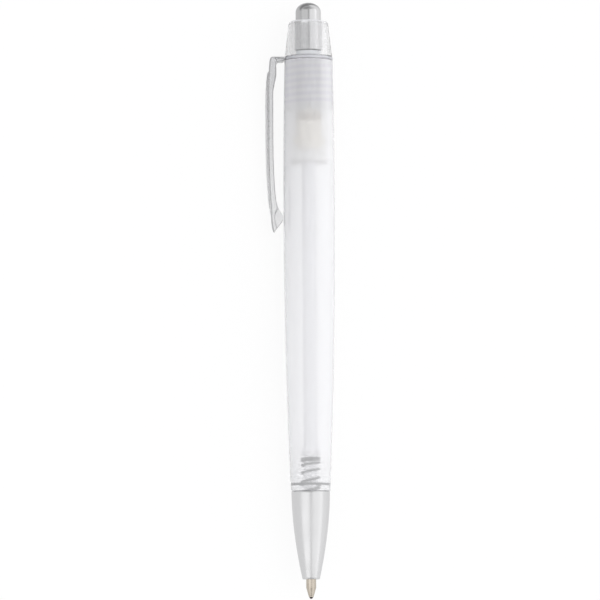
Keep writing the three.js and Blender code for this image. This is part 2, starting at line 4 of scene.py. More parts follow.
import bmesh
import bpy
import numpy as np
from mathutils import Matrix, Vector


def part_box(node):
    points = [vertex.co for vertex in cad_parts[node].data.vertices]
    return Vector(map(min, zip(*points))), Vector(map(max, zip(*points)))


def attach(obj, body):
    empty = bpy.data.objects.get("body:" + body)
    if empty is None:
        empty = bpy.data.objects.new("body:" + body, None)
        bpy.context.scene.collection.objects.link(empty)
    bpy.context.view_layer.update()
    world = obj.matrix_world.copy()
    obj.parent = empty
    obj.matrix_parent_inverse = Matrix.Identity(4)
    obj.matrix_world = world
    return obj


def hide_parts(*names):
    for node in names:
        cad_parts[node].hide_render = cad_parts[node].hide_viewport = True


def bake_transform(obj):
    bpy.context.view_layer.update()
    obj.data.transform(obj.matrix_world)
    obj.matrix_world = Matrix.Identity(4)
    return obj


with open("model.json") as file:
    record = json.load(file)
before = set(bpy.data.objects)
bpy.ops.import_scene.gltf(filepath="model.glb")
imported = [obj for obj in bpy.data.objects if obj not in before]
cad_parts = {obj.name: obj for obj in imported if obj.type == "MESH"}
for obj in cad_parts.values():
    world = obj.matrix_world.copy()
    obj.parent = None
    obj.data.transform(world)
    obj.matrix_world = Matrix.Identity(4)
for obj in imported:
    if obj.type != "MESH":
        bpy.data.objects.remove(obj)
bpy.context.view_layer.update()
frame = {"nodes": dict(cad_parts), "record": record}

# How the pen lies. Sizes below are in millimetres in the pen's own frame: across, away from the clip;
# station, from the end of the writing ball towards the button; and up, square to the clip's plane.
# The clip's hinge line in the record gives the roll with which the pen rests on its clip.
MILLIMETRE = 0.001
clip_hinge = next(joint for joint in frame["record"]["behaviour"]["joints"] if joint["name"] == "clip_flex")
_, hinge_y, hinge_z = clip_hinge["axis"]
across_axis = np.array([0.0, -hinge_z, hinge_y])
station_axis = np.array([-1.0, 0.0, 0.0])
up_axis = np.array([0.0, -hinge_y, -hinge_z])
ball_low, ball_high = (np.array(corner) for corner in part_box("writing_ball"))
ball_end = np.array([ball_high[0], *((ball_low + ball_high) / 2)[1:]])


def on_pen(across, station, up):
    """World place in metres: the ball's end, plus each size along its own axis."""
    sizes = np.stack(np.broadcast_arrays(across, station, up), axis=-1) * MILLIMETRE
    return ball_end + sizes @ np.stack([across_axis, station_axis, up_axis])


def linear(code):
    """Linear colour of an sRGB hex code, by the sRGB curve."""
    value = np.array([int(code[i:i + 2], 16) for i in (1, 3, 5)]) / 255
    curve = np.where(value <= 0.04045, value / 12.92, ((value + 0.055) / 1.055) ** 2.4)
    return (*curve.tolist(), 1.0)


def add_node(tree, kind, settings=None, links=None):
    """Adds one shader node, sets its properties or sockets, and links its sockets to other outputs."""
    node = tree.nodes.new(kind)
    for key, value in (settings or {}).items():
        if isinstance(key, str) and hasattr(node, key):
            setattr(node, key, value)
        else:
            node.inputs[key].default_value = value
    for key, output in (links or {}).items():
        tree.links.new(output, node.inputs[key])
    return node


def new_material(name):
    """An empty node material and its tree."""
    material = bpy.data.materials.new(name)
    material.use_nodes = True
    material.node_tree.nodes.clear()
    return material, material.node_tree


# Camera: a long lens, square to the clip's plane but a little beyond the writing point, so that the
# pen stands in the frame as the catalogue view has it, button up and clip to the left.
PHOTO_SCALE = 4.274
LENS_HEIGHT = 1100.0
AIM_STATION = 69.86
AIM_ACROSS = -2.28
LENS_STATION = -21.0
PEN_LEAN = math.radians(0.28)
FILM_WIDTH = 36.0
FRAME_PIXELS = 600
eye = on_pen(AIM_ACROSS, LENS_STATION, LENS_HEIGHT)
aim = on_pen(AIM_ACROSS, AIM_STATION, 0.0)
reach = np.linalg.norm(aim - eye)
forward = (aim - eye) / reach
upright = station_axis * math.cos(PEN_LEAN) + across_axis * math.sin(PEN_LEAN)
rightward = np.cross(forward, upright)
rightward /= np.linalg.norm(rightward)
placed = np.eye(4)
placed[:3, :] = np.stack([rightward, np.cross(rightward, forward), -forward, eye], axis=1)
camera_data = bpy.data.cameras.new("camera")
camera_data.sensor_width = FILM_WIDTH
camera_data.lens = FILM_WIDTH * reach / (FRAME_PIXELS / PHOTO_SCALE * MILLIMETRE)
camera_data.clip_start = 0.05
camera_data.clip_end = 30.0
camera = bpy.data.objects.new("camera", camera_data)
bpy.context.collection.objects.link(camera)
camera.matrix_world = Matrix(placed.tolist())
bpy.context.scene.camera = camera
bpy.context.scene.view_settings.view_transform = "Standard"


# Stage: a white table top that keeps the pen's soft shadow, and a white room. Both show as white to the
# camera and through the frosted plastic. Gloss finds the room dim over the pen and in the corner beyond
# button and clip, and a dark patch of table past the button. Plain light is weaker on the clip's side.
TABLE_HALF = 3.0
TABLE_COLOUR = "#e9e9ea"
TABLE_GLOW = 0.92
DIM_TABLE_LEVEL = 0.7
DARK_TABLE_LEVEL = 0.3
# where the table's gloss changes, in metres: along the pen and across it from dim to bright, then out of
# the dark patch along the pen, and away from the patch's middle line
WRITING_END = (-0.09, 0.03)
FAR_SIDE = (-0.005, 0.01)
PAST_BUTTON = (-0.083, -0.0715)
PATCH_SIDE = (0.015, 0.05)
PATCH_MIDDLE = -0.015
# the room's level in gloss and as plain light, each on the clip's side and on the far side
GLOSS_SIDES = (0.85, 1.12)
LIGHT_SIDES = (0.48, 1.34)
# how far up a direction goes dim, and how near to the dim corner's middle
OVERHEAD_RISE = (0.05, 0.7)
OVERHEAD_LEVEL = 0.55
CORNER_NEARNESS = (0.8, 0.96)
CORNER_LEVEL = 0.6
DIM_CORNER = (-0.92, -0.35, 0.17)


def ray_kinds(tree):
    """Two outputs that are 1 or 0: the ray came off a shiny surface, also where it crossed plastic after
    that; and the camera sees it, straight or through plastic."""
    path = add_node(tree, "ShaderNodeLightPath")
    bounced = add_node(tree, "ShaderNodeMath", {"operation": "GREATER_THAN", 1: 0.5},
                       {0: path.outputs["Glossy Depth"]})
    crossed = add_node(tree, "ShaderNodeMath", {"operation": "MULTIPLY"},
                       {0: bounced.outputs[0], 1: path.outputs["Is Transmission Ray"]})
    mirrored = add_node(tree, "ShaderNodeMath", {"operation": "MAXIMUM"},
                        {0: crossed.outputs[0], 1: path.outputs["Is Glossy Ray"]})
    direct = add_node(tree, "ShaderNodeMath", {"operation": "SUBTRACT"},
                      {0: path.outputs["Is Transmission Ray"], 1: crossed.outputs[0]})
    seen = add_node(tree, "ShaderNodeMath", {"operation": "MAXIMUM"},
                    {0: direct.outputs[0], 1: path.outputs["Is Camera Ray"]})
    return mirrored.outputs[0], seen.outputs[0]


table_mesh = bpy.data.meshes.new("table")
table_corners = [(x * TABLE_HALF, y * TABLE_HALF, 0) for x, y in ((-1, -1), (1, -1), (1, 1), (-1, 1))]
table_mesh.from_pydata(table_corners, [], [(0, 1, 2, 3)])
table = bpy.data.objects.new("table", table_mesh)
bpy.context.collection.objects.link(table)
table_paint, tree = new_material("matt_white_table")
diffuse = add_node(tree, "ShaderNodeBsdfDiffuse", {"Color": linear(TABLE_COLOUR)})
place = add_node(tree, "ShaderNodeTexCoord")
along = add_node(tree, "ShaderNodeSeparateXYZ", {}, {0: place.outputs["Object"]})
off_middle = add_node(tree, "ShaderNodeMath", {"operation": "ADD", 1: -PATCH_MIDDLE}, {0: along.outputs["Y"]})
aside = add_node(tree, "ShaderNodeMath", {"operation": "ABSOLUTE"}, {0: off_middle.outputs[0]})
writing_end, far_side, past_button, patch_side = (
    add_node(tree, "ShaderNodeMapRange",
             {"interpolation_type": "SMOOTHSTEP", "From Min": low, "From Max": high, "To Min": least},
             {"Value": here}).outputs[0]
    for here, (low, high), least in ((along.outputs["X"], WRITING_END, 0.0),
                                     (along.outputs["Y"], FAR_SIDE, 0.0),
                                     (along.outputs["X"], PAST_BUTTON, DARK_TABLE_LEVEL),
                                     (aside.outputs[0], PATCH_SIDE, 0.0)))
bright = add_node(tree, "ShaderNodeMath", {"operation": "MAXIMUM"}, {0: writing_end, 1: far_side})
bright_level = add_node(tree, "ShaderNodeMapRange", {"To Min": DIM_TABLE_LEVEL}, {"Value": bright.outputs[0]})
beyond = add_node(tree, "ShaderNodeMath", {"operation": "MAXIMUM"}, {0: past_button, 1: patch_side})
in_table = add_node(tree, "ShaderNodeMath", {"operation": "MULTIPLY"},
                    {0: bright_level.outputs[0], 1: beyond.outputs[0]})
mirrored, seen = ray_kinds(tree)
gloss_level = add_node(tree, "ShaderNodeMapRange", {"To Min": 1.0},
                       {"Value": mirrored, "To Max": in_table.outputs[0]})
glow = add_node(tree, "ShaderNodeEmission", {"Color": linear("#ffffff")},
                {"Strength": gloss_level.outputs[0]})
either = add_node(tree, "ShaderNodeMath", {"operation": "MAXIMUM"}, {0: mirrored, 1: seen})
share = add_node(tree, "ShaderNodeMath", {"operation": "MULTIPLY", 1: TABLE_GLOW}, {0: either.outputs[0]})
mixed = add_node(tree, "ShaderNodeMixShader", {},
                 {0: share.outputs[0], 1: diffuse.outputs[0], 2: glow.outputs[0]})
add_node(tree, "ShaderNodeOutputMaterial", {}, {"Surface": mixed.outputs[0]})
table_mesh.materials.append(table_paint)

room = bpy.data.worlds.new("white_room")
bpy.context.scene.world = room
room.use_nodes = True
tree = room.node_tree
tree.nodes.clear()
direction = add_node(tree, "ShaderNodeTexCoord").outputs["Generated"]
part = add_node(tree, "ShaderNodeSeparateXYZ", {}, {0: direction})
gloss_side, light_side = (
    add_node(tree, "ShaderNodeMapRange", {"From Min": -1.0, "To Min": clip_side, "To Max": far},
             {"Value": part.outputs["Y"]}).outputs[0]
    for clip_side, far in (GLOSS_SIDES, LIGHT_SIDES))
upward, to_corner = (
    add_node(tree, "ShaderNodeVectorMath", {"operation": "DOT_PRODUCT", 1: axis},
             {0: direction}).outputs["Value"]
    for axis in (tuple(up_axis.tolist()), DIM_CORNER))
overhead = add_node(tree, "ShaderNodeMapRange",
                    {"interpolation_type": "SMOOTHSTEP", "From Min": OVERHEAD_RISE[0],
                     "From Max": OVERHEAD_RISE[1], "To Max": OVERHEAD_LEVEL},
                    {"Value": upward, "To Min": gloss_side})
corner = add_node(tree, "ShaderNodeMapRange",
                  {"interpolation_type": "SMOOTHSTEP", "From Min": CORNER_NEARNESS[0],
                   "From Max": CORNER_NEARNESS[1], "To Min": 1.0, "To Max": CORNER_LEVEL},
                  {"Value": to_corner})
in_gloss = add_node(tree, "ShaderNodeMath", {"operation": "MULTIPLY"},
                    {0: overhead.outputs[0], 1: corner.outputs[0]})
mirrored, seen = ray_kinds(tree)
gloss_level = add_node(tree, "ShaderNodeMapRange", {},
                       {"Value": mirrored, "To Min": light_side, "To Max": in_gloss.outputs[0]})
level = add_node(tree, "ShaderNodeMapRange", {"To Max": 1.0},
                 {"Value": seen, "To Min": gloss_level.outputs[0]})
air = add_node(tree, "ShaderNodeBackground", {"Color": linear("#ffffff")}, {"Strength": level.outputs[0]})
add_node(tree, "ShaderNodeOutputWorld", {}, {"Surface": air.outputs[0]})


# Lamps: a row of two soft boxes on each side of the pen, with a narrow gap between the rows over the pen's
# middle, which draws the fine grey line down every round piece. The boxes at the button's end are weaker.
LAMP_DISTANCE = 560.0


def soft_box(name, lean, width, lowest, highest, level):
    """A long lamp, parallel to the pen and facing it, leaned over by an angle, between two stations.
    level is its brightness, where the white room is 1: its power is level times pi times its area."""
    data = bpy.data.lights.new(name, "AREA")
    data.shape = "RECTANGLE"
    data.size = width * MILLIMETRE
    data.size_y = (highest - lowest) * MILLIMETRE
    data.energy = level * math.pi * data.size * data.size_y
    lamp = bpy.data.objects.new(name, data)
    bpy.context.collection.objects.link(lamp)
    outward = across_axis * math.sin(lean) + up_axis * math.cos(lean)
    place = on_pen(0.0, (lowest + highest) / 2, 0.0) + outward * LAMP_DISTANCE * MILLIMETRE
    turn = np.eye(4)
    turn[:3, :] = np.stack([np.cross(station_axis, outward), station_axis, outward, place], axis=1)
    lamp.matrix_world = Matrix(turn.tolist())


soft_box("right_soft_box", math.radians(40.0), 780.0, -380.0, 130.0, 0.72)
soft_box("right_upper_box", math.radians(45.0), 740.0, 130.0, 560.0, 0.6)
soft_box("left_soft_box", math.radians(-32.0), 600.0, -380.0, 130.0, 0.9)
soft_box("left_weak_box", math.radians(-32.0), 600.0, 130.0, 460.0, 0.28)


# Surfaces: every new piece is a grid of points worked out in the pen's own frame.
def skin(name, points, closed_along=False, smooth_to=28.0):
    """A mesh over a grid of points, rows along the piece and columns round it, joined round the columns.
    Rows that shrink to a point are welded into a pole, and all faces are turned outwards."""
    rows, columns = points.shape[:2]
    index = np.arange(rows * columns).reshape(rows, columns)
    index = np.concatenate([index, index[:, :1]], axis=1)
    if closed_along:
        index = np.concatenate([index, index[:1]], axis=0)
    quads = np.stack([index[:-1, :-1], index[:-1, 1:], index[1:, 1:], index[1:, :-1]], axis=-1)
    mesh = bpy.data.meshes.new(name)
    mesh.from_pydata(points.reshape(-1, 3).tolist(), [], quads.reshape(-1, 4).tolist())
    work = bmesh.new()
    work.from_mesh(mesh)
    bmesh.ops.remove_doubles(work, verts=work.verts, dist=0.0005 * MILLIMETRE)
    bmesh.ops.dissolve_degenerate(work, edges=work.edges, dist=0.0002 * MILLIMETRE)
    bmesh.ops.recalc_face_normals(work, faces=work.faces)
    work.to_mesh(mesh)
    work.free()
    mesh.shade_smooth()
    mesh.set_sharp_from_angle(angle=math.radians(smooth_to))
    obj = bpy.data.objects.new(name, mesh)
    bpy.context.collection.objects.link(obj)
    return obj


def rounded(corners, radius, closed=True):
    """A profile with each corner swept by a parabola between two points, radius before and after it,
    or nearer where its edges are short."""
    corners = np.array(corners, float)
    before = np.roll(corners, 1, axis=0) - corners
    after = np.roll(corners, -1, axis=0) - corners
    shortest = 0.45 * np.minimum(np.linalg.norm(before, axis=1), np.linalg.norm(after, axis=1))
    cut = np.minimum(radius, shortest)[:, None]
    start = corners + before / np.maximum(np.linalg.norm(before, axis=1), 1e-9)[:, None] * cut
    end = corners + after / np.maximum(np.linalg.norm(after, axis=1), 1e-9)[:, None] * cut
    t = np.linspace(0.0, 1.0, 5)[None, :, None]
    arcs = (1 - t) ** 2 * start[:, None] + 2 * t * (1 - t) * corners[:, None] + t ** 2 * end[:, None]
    path = arcs.reshape(-1, 2)
    return path if closed else np.concatenate([corners[:1], path[5:-5], corners[-1:]])


def finer(profile, step):
    """The same open profile with points added, so that none is further than step from the next."""
    profile = np.array(profile, float)
    lengths = np.linalg.norm(np.diff(profile, axis=0), axis=1)
    counts = np.maximum(1, np.ceil(lengths / step)).astype(int)
    at = np.concatenate([[0.0], np.cumsum(lengths)])
    stops = np.concatenate([np.arange(n) / n * length + start
                            for n, length, start in zip(counts, lengths, at)])
    stops = np.append(stops, at[-1])
    return np.stack([np.interp(stops, at, profile[:, 0]), np.interp(stops, at, profile[:, 1])], axis=1)


def turned(name, profile, sides=96, closed=True, shape=None, smooth_to=28.0):
    """A profile of radius and station carried round the axis. shape may change radius and station by the
    angle, which is counted from up towards across."""
    profile = np.array(profile, float)
    angle = np.arange(sides) / sides * 2 * np.pi
    radius = np.repeat(profile[:, :1], sides, axis=1)
    station = np.repeat(profile[:, 1:], sides, axis=1)
    angle = np.repeat(angle[None], len(profile), axis=0)
    if shape:
        radius, station = shape(radius, station, angle)
    points = on_pen(radius * np.sin(angle), station, radius * np.cos(angle))
    return skin(name, points, closed_along=closed, smooth_to=smooth_to)


def face_sizes(mesh):
    """Across, station and up of each face's middle, in millimetres: the inverse of on_pen."""
    centres = np.empty(len(mesh.polygons) * 3)
    mesh.polygons.foreach_get("center", centres)
    return (centres.reshape(-1, 3) - ball_end) @ np.stack([across_axis, station_axis, up_axis]).T / MILLIMETRE


def paint_where(obj, material, where):
    """Gives one more material to the faces for which where, a function of their radius and station,
    is true."""
    mesh = obj.data
    mesh.materials.append(material)
    sizes = face_sizes(mesh)
    index = np.empty(len(mesh.polygons), np.int32)
    mesh.polygons.foreach_get("material_index", index)
    index[where(np.hypot(sizes[:, 0], sizes[:, 2]), sizes[:, 1])] = len(mesh.materials) - 1
    mesh.polygons.foreach_set("material_index", index)
    mesh.update()


def smooth_step(value, low, high):
    """0 below low, 1 above high, and 3t^2 - 2t^3 between."""
    t = np.clip((value - low) / (high - low), 0.0, 1.0)
    return t * t * (3 - 2 * t)


# Refill tube: extruded white polypropylene, open at its back end and pinched into two ears that the
# spring pushes on.
TUBE_RADIUS = 1.5
TUBE_BORE = 1.15
TUBE_FRONT = 11.3
REFILL_END = 107.0
EARS_AT = 33.4
EARS_LENGTH = 2.0
EARS_REACH = 2.175
EARS_HALF_THICKNESS = 0.25
EARS_STEP = 0.12
EARS_SLOPE = 0.5


def pinched(radius, station, angle):
    """Two flat ears: the outer wall reaches out to the ears where it faces across."""
    outer = radius > (TUBE_BORE + TUBE_RADIUS) / 2
    off_plane = EARS_REACH * np.abs(np.cos(angle))
    ear = 1 - smooth_step(off_plane, EARS_HALF_THICKNESS, EARS_HALF_THICKNESS + EARS_STEP)
    along = smooth_step(station, EARS_AT, EARS_AT + EARS_STEP)
    ears_end = EARS_AT + EARS_LENGTH
    along = along * (1 - smooth_step(station, ears_end - EARS_SLOPE, ears_end))
    return np.where(outer, radius + (EARS_REACH - TUBE_RADIUS) * ear * along, radius), station


tube_profile = np.concatenate([
    finer([(TUBE_RADIUS, TUBE_FRONT), (TUBE_RADIUS, EARS_AT)], 4.0)[:-1],
    finer([(TUBE_RADIUS, EARS_AT), (TUBE_RADIUS, EARS_AT + EARS_LENGTH)], 0.08),
    finer([(TUBE_RADIUS, EARS_AT + EARS_LENGTH + 0.1), (TUBE_RADIUS, REFILL_END)], 8.0),
    [(TUBE_BORE, REFILL_END), (TUBE_BORE, TUBE_FRONT)],
])
refill = turned("refill_tube_skin", tube_profile, sides=120, shape=pinched)


def grained(name, colour, settings, scale, detail=3.0, polish=None, relief=None, stretch=None,
            kind="ShaderNodeTexNoise", by=None, **more):
    """A finish with one grain on Object coordinates. colour is one code, or two that the grain mixes.
    polish is the roughness at the grain's low and high, and may go on with that low and high. relief is
    a bump's strength and its depth in millimetres. stretch scales the grain along each axis. by gives
    colour, polish or relief a pattern of its own, as a function of tree and place."""
    material, tree = new_material(name)
    place = add_node(tree, "ShaderNodeTexCoord").outputs["Object"]
    if stretch:
        place = add_node(tree, "ShaderNodeMapping", {"Scale": stretch}, {"Vector": place}).outputs[0]
    grain = add_node(tree, kind, {"Scale": scale, "Detail": detail, **more}, {"Vector": place}).outputs[0]
    pattern = {"colour": grain, "polish": grain, "relief": grain}
    for use, own_pattern in (by or {}).items():
        pattern[use] = own_pattern(tree, place)
    links = {}
    if isinstance(colour, str):
        settings = {"Base Color": linear(colour), **settings}
    else:
        tones = add_node(tree, "ShaderNodeValToRGB", {}, {"Fac": pattern["colour"]})
        for stop, code in zip(tones.color_ramp.elements, colour):
            stop.color = linear(code)
        links["Base Color"] = tones.outputs[0]
    if polish:
        sockets = ("To Min", "To Max", "From Min", "From Max")
        sheen = add_node(tree, "ShaderNodeMapRange", dict(zip(sockets, polish)), {"Value": pattern["polish"]})
        links["Roughness"] = sheen.outputs[0]
    if relief:
        strength, depth = relief
        bump = add_node(tree, "ShaderNodeBump", {"Strength": strength, "Distance": depth * MILLIMETRE},
                        {"Height": pattern["relief"]})
        links["Normal"] = bump.outputs[0]
    surface = add_node(tree, "ShaderNodeBsdfPrincipled", settings, links)
    add_node(tree, "ShaderNodeOutputMaterial", {}, {"Surface": surface.outputs[0]})
    return material


# extruded: dead even along its length, with faint draw lines a tenth of a millimetre apart
white_tube = grained("extruded_white_polypropylene", "#ededef", {"Roughness": 0.42, "IOR": 1.49},
                     scale=1.0, detail=2.0, relief=(0.15, 0.02), stretch=(40.0, 9000.0, 9000.0))
refill.data.materials.append(white_tube)
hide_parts("refill_tube")
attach(refill, "refill_body")


# Ink and the grease plug behind it: both fill the tube's bore and show only at its open end.
def repaint(node, material):
    """Gives a CAD node one new material."""
    data = frame["nodes"][node].data
    data.materials.clear()
    data.materials.append(material)


# thick ink: nearly black in bulk, wet, with slow streaks a few millimetres long where it has crept
blue_ink = grained("blue_oil_ink", ("#14163c", "#232659"), {"Roughness": 0.12, "IOR": 1.45},
                   scale=400.0, detail=2.0)
repaint("ink_column", blue_ink)

# a clear yellowish gel with fine bubbles of about 0.2 mm
grease = grained("clear_follower_grease", "#e3d9a8",
                 {"Roughness": 0.15, "IOR": 1.47, "Transmission Weight": 0.6},
                 scale=4500.0, detail=0.0, relief=(0.3, 0.05), kind="ShaderNodeTexVoronoi")
repaint("ink_follower", grease)


# Nib: turned nickel silver. A cone swaged round the ball, a straight neck that runs in the tip cone,
# a flange against the tube and a shank pressed into its bore.
NIB_RADIUS = 1.175
LIP_RADIUS = 0.54
LIP_BORE = 0.48
BALL_RADIUS = 0.45
BALL_MIDDLE = 0.5
NIB_FLANGE = 10.2
NIB_BACK = 11.2
SHANK_RADIUS = 1.05
SHANK_END = 15.4
INK_CHANNEL = 0.3
CHAMBER_END = 1.05
NIB_CONE_FROM = 0.6
NIB_CONE_LENGTH = 2.05
NIB_CONE_FULLNESS = 0.93
taper = np.linspace(0.0, 1.0, 14)
nib_cone = np.stack([LIP_RADIUS + 0.03 + (NIB_RADIUS - LIP_RADIUS - 0.03) * taper ** NIB_CONE_FULLNESS,
                     NIB_CONE_FROM + NIB_CONE_LENGTH * taper], axis=1)
nib_profile = np.concatenate([
    [(LIP_BORE, 0.45), (LIP_RADIUS - 0.02, 0.44), (LIP_RADIUS + 0.02, 0.52)],
    nib_cone,
    [(NIB_RADIUS, NIB_FLANGE), (TUBE_RADIUS - 0.05, NIB_FLANGE), (TUBE_RADIUS, NIB_FLANGE + 0.05),
     (TUBE_RADIUS, NIB_BACK), (SHANK_RADIUS, NIB_BACK), (SHANK_RADIUS, SHANK_END - 0.1),
     (SHANK_RADIUS - 0.1, SHANK_END), (INK_CHANNEL, SHANK_END), (INK_CHANNEL, CHAMBER_END),
     (LIP_BORE, CHAMBER_END)],
])
nib = turned("nib_skin", nib_profile, sides=64)


def tool_rings(tree, place):
    """Rings round the nib, left by the turning tool."""
    rings = add_node(tree, "ShaderNodeTexWave",
                     {"wave_type": "BANDS", "bands_direction": "X", "Scale": 6000.0, "Distortion": 0.6,
                      "Detail": 1.0}, {"Vector": place})
    return rings.outputs["Fac"]


# turned: tool rings a twentieth of a millimetre apart round the axis, warm grey, slightly stained
nickel_silver = grained("turned_nickel_silver", ("#aea599", "#c6beb2"), {"Metallic": 1.0, "Roughness": 0.15},
                        scale=900.0, relief=(0.12, 0.01), by={"relief": tool_rings})
nib.data.materials.append(nickel_silver)
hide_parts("nib")
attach(nib, "refill_body")


# Writing ball: ground tungsten carbide, free to roll in the nib's lip. It is drawn 0.9 mm across, so that
# the lip closes round it; the solids have it at its full 1 mm.
half_turn = np.linspace(0.0, np.pi, 33)
ball_profile = np.stack([BALL_RADIUS * np.sin(half_turn),
                         BALL_MIDDLE - BALL_RADIUS * np.cos(half_turn)], axis=1)
ball = turned("writing_ball_skin", ball_profile, sides=64, closed=False)
# ground: dark grey with a fine grain of about 0.05 mm that holds the ink
carbide = grained("ground_tungsten_carbide", "#3c3a3a", {"Metallic": 1.0},
                  scale=20000.0, polish=(0.22, 0.4), relief=(0.2, 0.01))
ball.data.materials.append(carbide)
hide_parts("writing_ball")
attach(ball, "ball_body")


# Return spring: bright drawn steel wire, wound right-handed, with its end curls closed up. It sits in
# the tip cone and pushes on the refill's ears.
WIRE_RADIUS = 0.225
SPRING_RADIUS = 1.95
SPRING_LOW = 12.83
SPRING_HIGH = 33.07
ACTIVE_CURLS = 8.6
CLOSED_CURLS = 2.0
CLOSED_PITCH = 0.47
EASING_CURLS = 1.3
OPENING_CURLS = 0.25
CURL_STEPS = 36
WIRE_SIDES = 12
curls = ACTIVE_CURLS + 2 * CLOSED_CURLS
turn_count = np.linspace(0.0, curls, int(curls * CURL_STEPS) + 1)
# the pitch grows from closed to open: at once near the cone, and by an exponential over some curls from
# the refill's ears
from_low = smooth_step(turn_count, CLOSED_CURLS - OPENING_CURLS, CLOSED_CURLS + OPENING_CURLS)
from_high = 1 - np.exp(-np.maximum(0.0, curls - CLOSED_CURLS + 0.15 - turn_count) / EASING_CURLS)
share = from_low * from_high
share_sum = np.sum((share[1:] + share[:-1]) / 2 * np.diff(turn_count))
pitch = CLOSED_PITCH + (SPRING_HIGH - SPRING_LOW - curls * CLOSED_PITCH) / share_sum * share
rise = np.concatenate([[0.0], np.cumsum((pitch[1:] + pitch[:-1]) / 2 * np.diff(turn_count))])
wire_station = SPRING_LOW + rise / rise[-1] * (SPRING_HIGH - SPRING_LOW)
around = 2 * np.pi * turn_count
middle = np.stack([SPRING_RADIUS * np.sin(around), wire_station, SPRING_RADIUS * np.cos(around)], axis=1)
tangent = np.gradient(middle, axis=0)
tangent /= np.linalg.norm(tangent, axis=1)[:, None]
outward = np.stack([np.sin(around), np.zeros_like(around), np.cos(around)], axis=1)
sideways = np.cross(tangent, outward)
section = np.arange(WIRE_SIDES) / WIRE_SIDES * 2 * np.pi
# the cut ends close to a point through a short bevel
thickness = np.full(len(turn_count), WIRE_RADIUS)
thickness[[0, -1]] = 0.0
middle[0], middle[-1] = middle[1], middle[-2]
wire_ring = (outward[:, None] * np.cos(section)[None, :, None]
             + sideways[:, None] * np.sin(section)[None, :, None])
wire_points = middle[:, None] + wire_ring * thickness[:, None, None]
spring = skin("spring_wire", on_pen(wire_points[..., 0], wire_points[..., 1], wire_points[..., 2]),
              smooth_to=50.0)
# drawn wire with dull patches of drawing soap about a millimetre long. Its colour is painted far darker than
# bright steel: painted shade for how dark the coil looks inside the barrel
spring_steel = grained("dark_painted_spring_steel", "#4e4f52", {"Metallic": 1.0},
                       scale=1100.0, polish=(0.2, 0.42))
spring.data.materials.append(spring_steel)
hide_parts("spring")
on_pen(0, SPRING_LOW, 0)
on_pen(0, SPRING_HIGH, 0)
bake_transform(spring)


# Tip cone: moulded plastic, vacuum metallised a satin silver and pushed onto the barrel's spigot. Its
# sides swell a little and end in a thin rounded lip round the nib.
CONE_MOUTH = 4.57
CONE_TOP = 25.0
CONE_TOP_RADIUS = 4.5
CONE_MOUTH_RADIUS = 2.0
CONE_FULLNESS = 1.8
SPIGOT_FOOT = 18.1
SPIGOT_RADIUS = 3.4
WELL_RADIUS = 2.425
SPRING_SEAT = 12.5
TUBE_ROOM = 1.75
NIB_ROOM = 1.425
NIB_ROOM_END = 8.7
EDGE_BREAK = 0.12
LIP_EDGE = 0.16
part = np.linspace(0.0, 1.0, 60)
cone_station = CONE_MOUTH + LIP_EDGE + (CONE_TOP - EDGE_BREAK - CONE_MOUTH - LIP_EDGE) * part
cone_wall = np.stack([
    CONE_TOP_RADIUS - (CONE_TOP_RADIUS - CONE_MOUTH_RADIUS)
    * ((CONE_TOP - cone_station) / (CONE_TOP - CONE_MOUTH)) ** CONE_FULLNESS,
    cone_station,
], axis=1)
cone_profile = np.concatenate([
    [(NIB_ROOM, CONE_MOUTH + EDGE_BREAK), (NIB_ROOM + EDGE_BREAK, CONE_MOUTH),
     (CONE_MOUTH_RADIUS - 0.17, CONE_MOUTH), (CONE_MOUTH_RADIUS - 0.05, CONE_MOUTH + 0.05)],
    cone_wall,
    [(CONE_TOP_RADIUS - 0.04, CONE_TOP - 0.03), (CONE_TOP_RADIUS - EDGE_BREAK, CONE_TOP),
     (SPIGOT_RADIUS + 0.1, CONE_TOP), (SPIGOT_RADIUS + 0.1, SPIGOT_FOOT - 0.1),
     (WELL_RADIUS, SPIGOT_FOOT - 0.1), (WELL_RADIUS, SPRING_SEAT), (TUBE_ROOM, SPRING_SEAT),
     (TUBE_ROOM, NIB_ROOM_END), (NIB_ROOM, NIB_ROOM_END)],
])
cone = turned("tip_cone_skin", cone_profile, sides=128)


def cloud(tree, place):
    """A slow change of sheen over some millimetres."""
    drift = add_node(tree, "ShaderNodeTexNoise", {"Scale": 260.0, "Detail": 2.0}, {"Vector": place})
    return drift.outputs[0]


# metallised over a satin moulding: even silver, a soft sheen, and a grain of about 0.15 mm under it
silvered = grained("satin_vacuum_metallised_plastic", "#cfcfd0", {"Metallic": 1.0},
                   scale=7000.0, Roughness=0.6, polish=(0.3, 0.37, 0.35, 0.65), relief=(0.16, 0.02),
                   by={"polish": cloud})
cone.data.materials.append(silvered)
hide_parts("tip_cone")
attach(cone, "barrel_body")


# Barrel: one moulded tube of clear plastic, frosted outside. It swells to its belly, is solid for two
# millimetres above the cone, and carries the female screw thread inside its top.
SHOULDER = 25.1
BELLY = 90.1
BARREL_TOP = 126.2
FOOT_RADIUS = 4.6
BELLY_RADIUS = 6.03
TOP_RADIUS = 5.66
FLOOR = 26.5
FLOOR_CHAMFER = 0.52
BORE_FOOT = 3.65
BORE_TOP = 4.43
COUNTERBORE = 114.5
THREAD_BORE = 5.0
THREAD_DEPTH = 0.5
THREAD_PITCH = 1.6
THREAD_ROOT = 0.75
THREAD_CREST = 0.4
BARREL_THREAD_FROM = 116.0
THREAD_TO = 125.8
THREAD_STEP = 0.045
# where a painted shade band is full and where it has gone, in pitches from its middle
SHADE_BAND_MIDDLE = 0.08
SHADE_BAND_EDGE = 0.42
# how far below the thread's start the painted shade bands begin to show, and how far above it they are full
SHADE_BANDS_BEFORE = 0.8
SHADE_BANDS_AFTER = 0.4


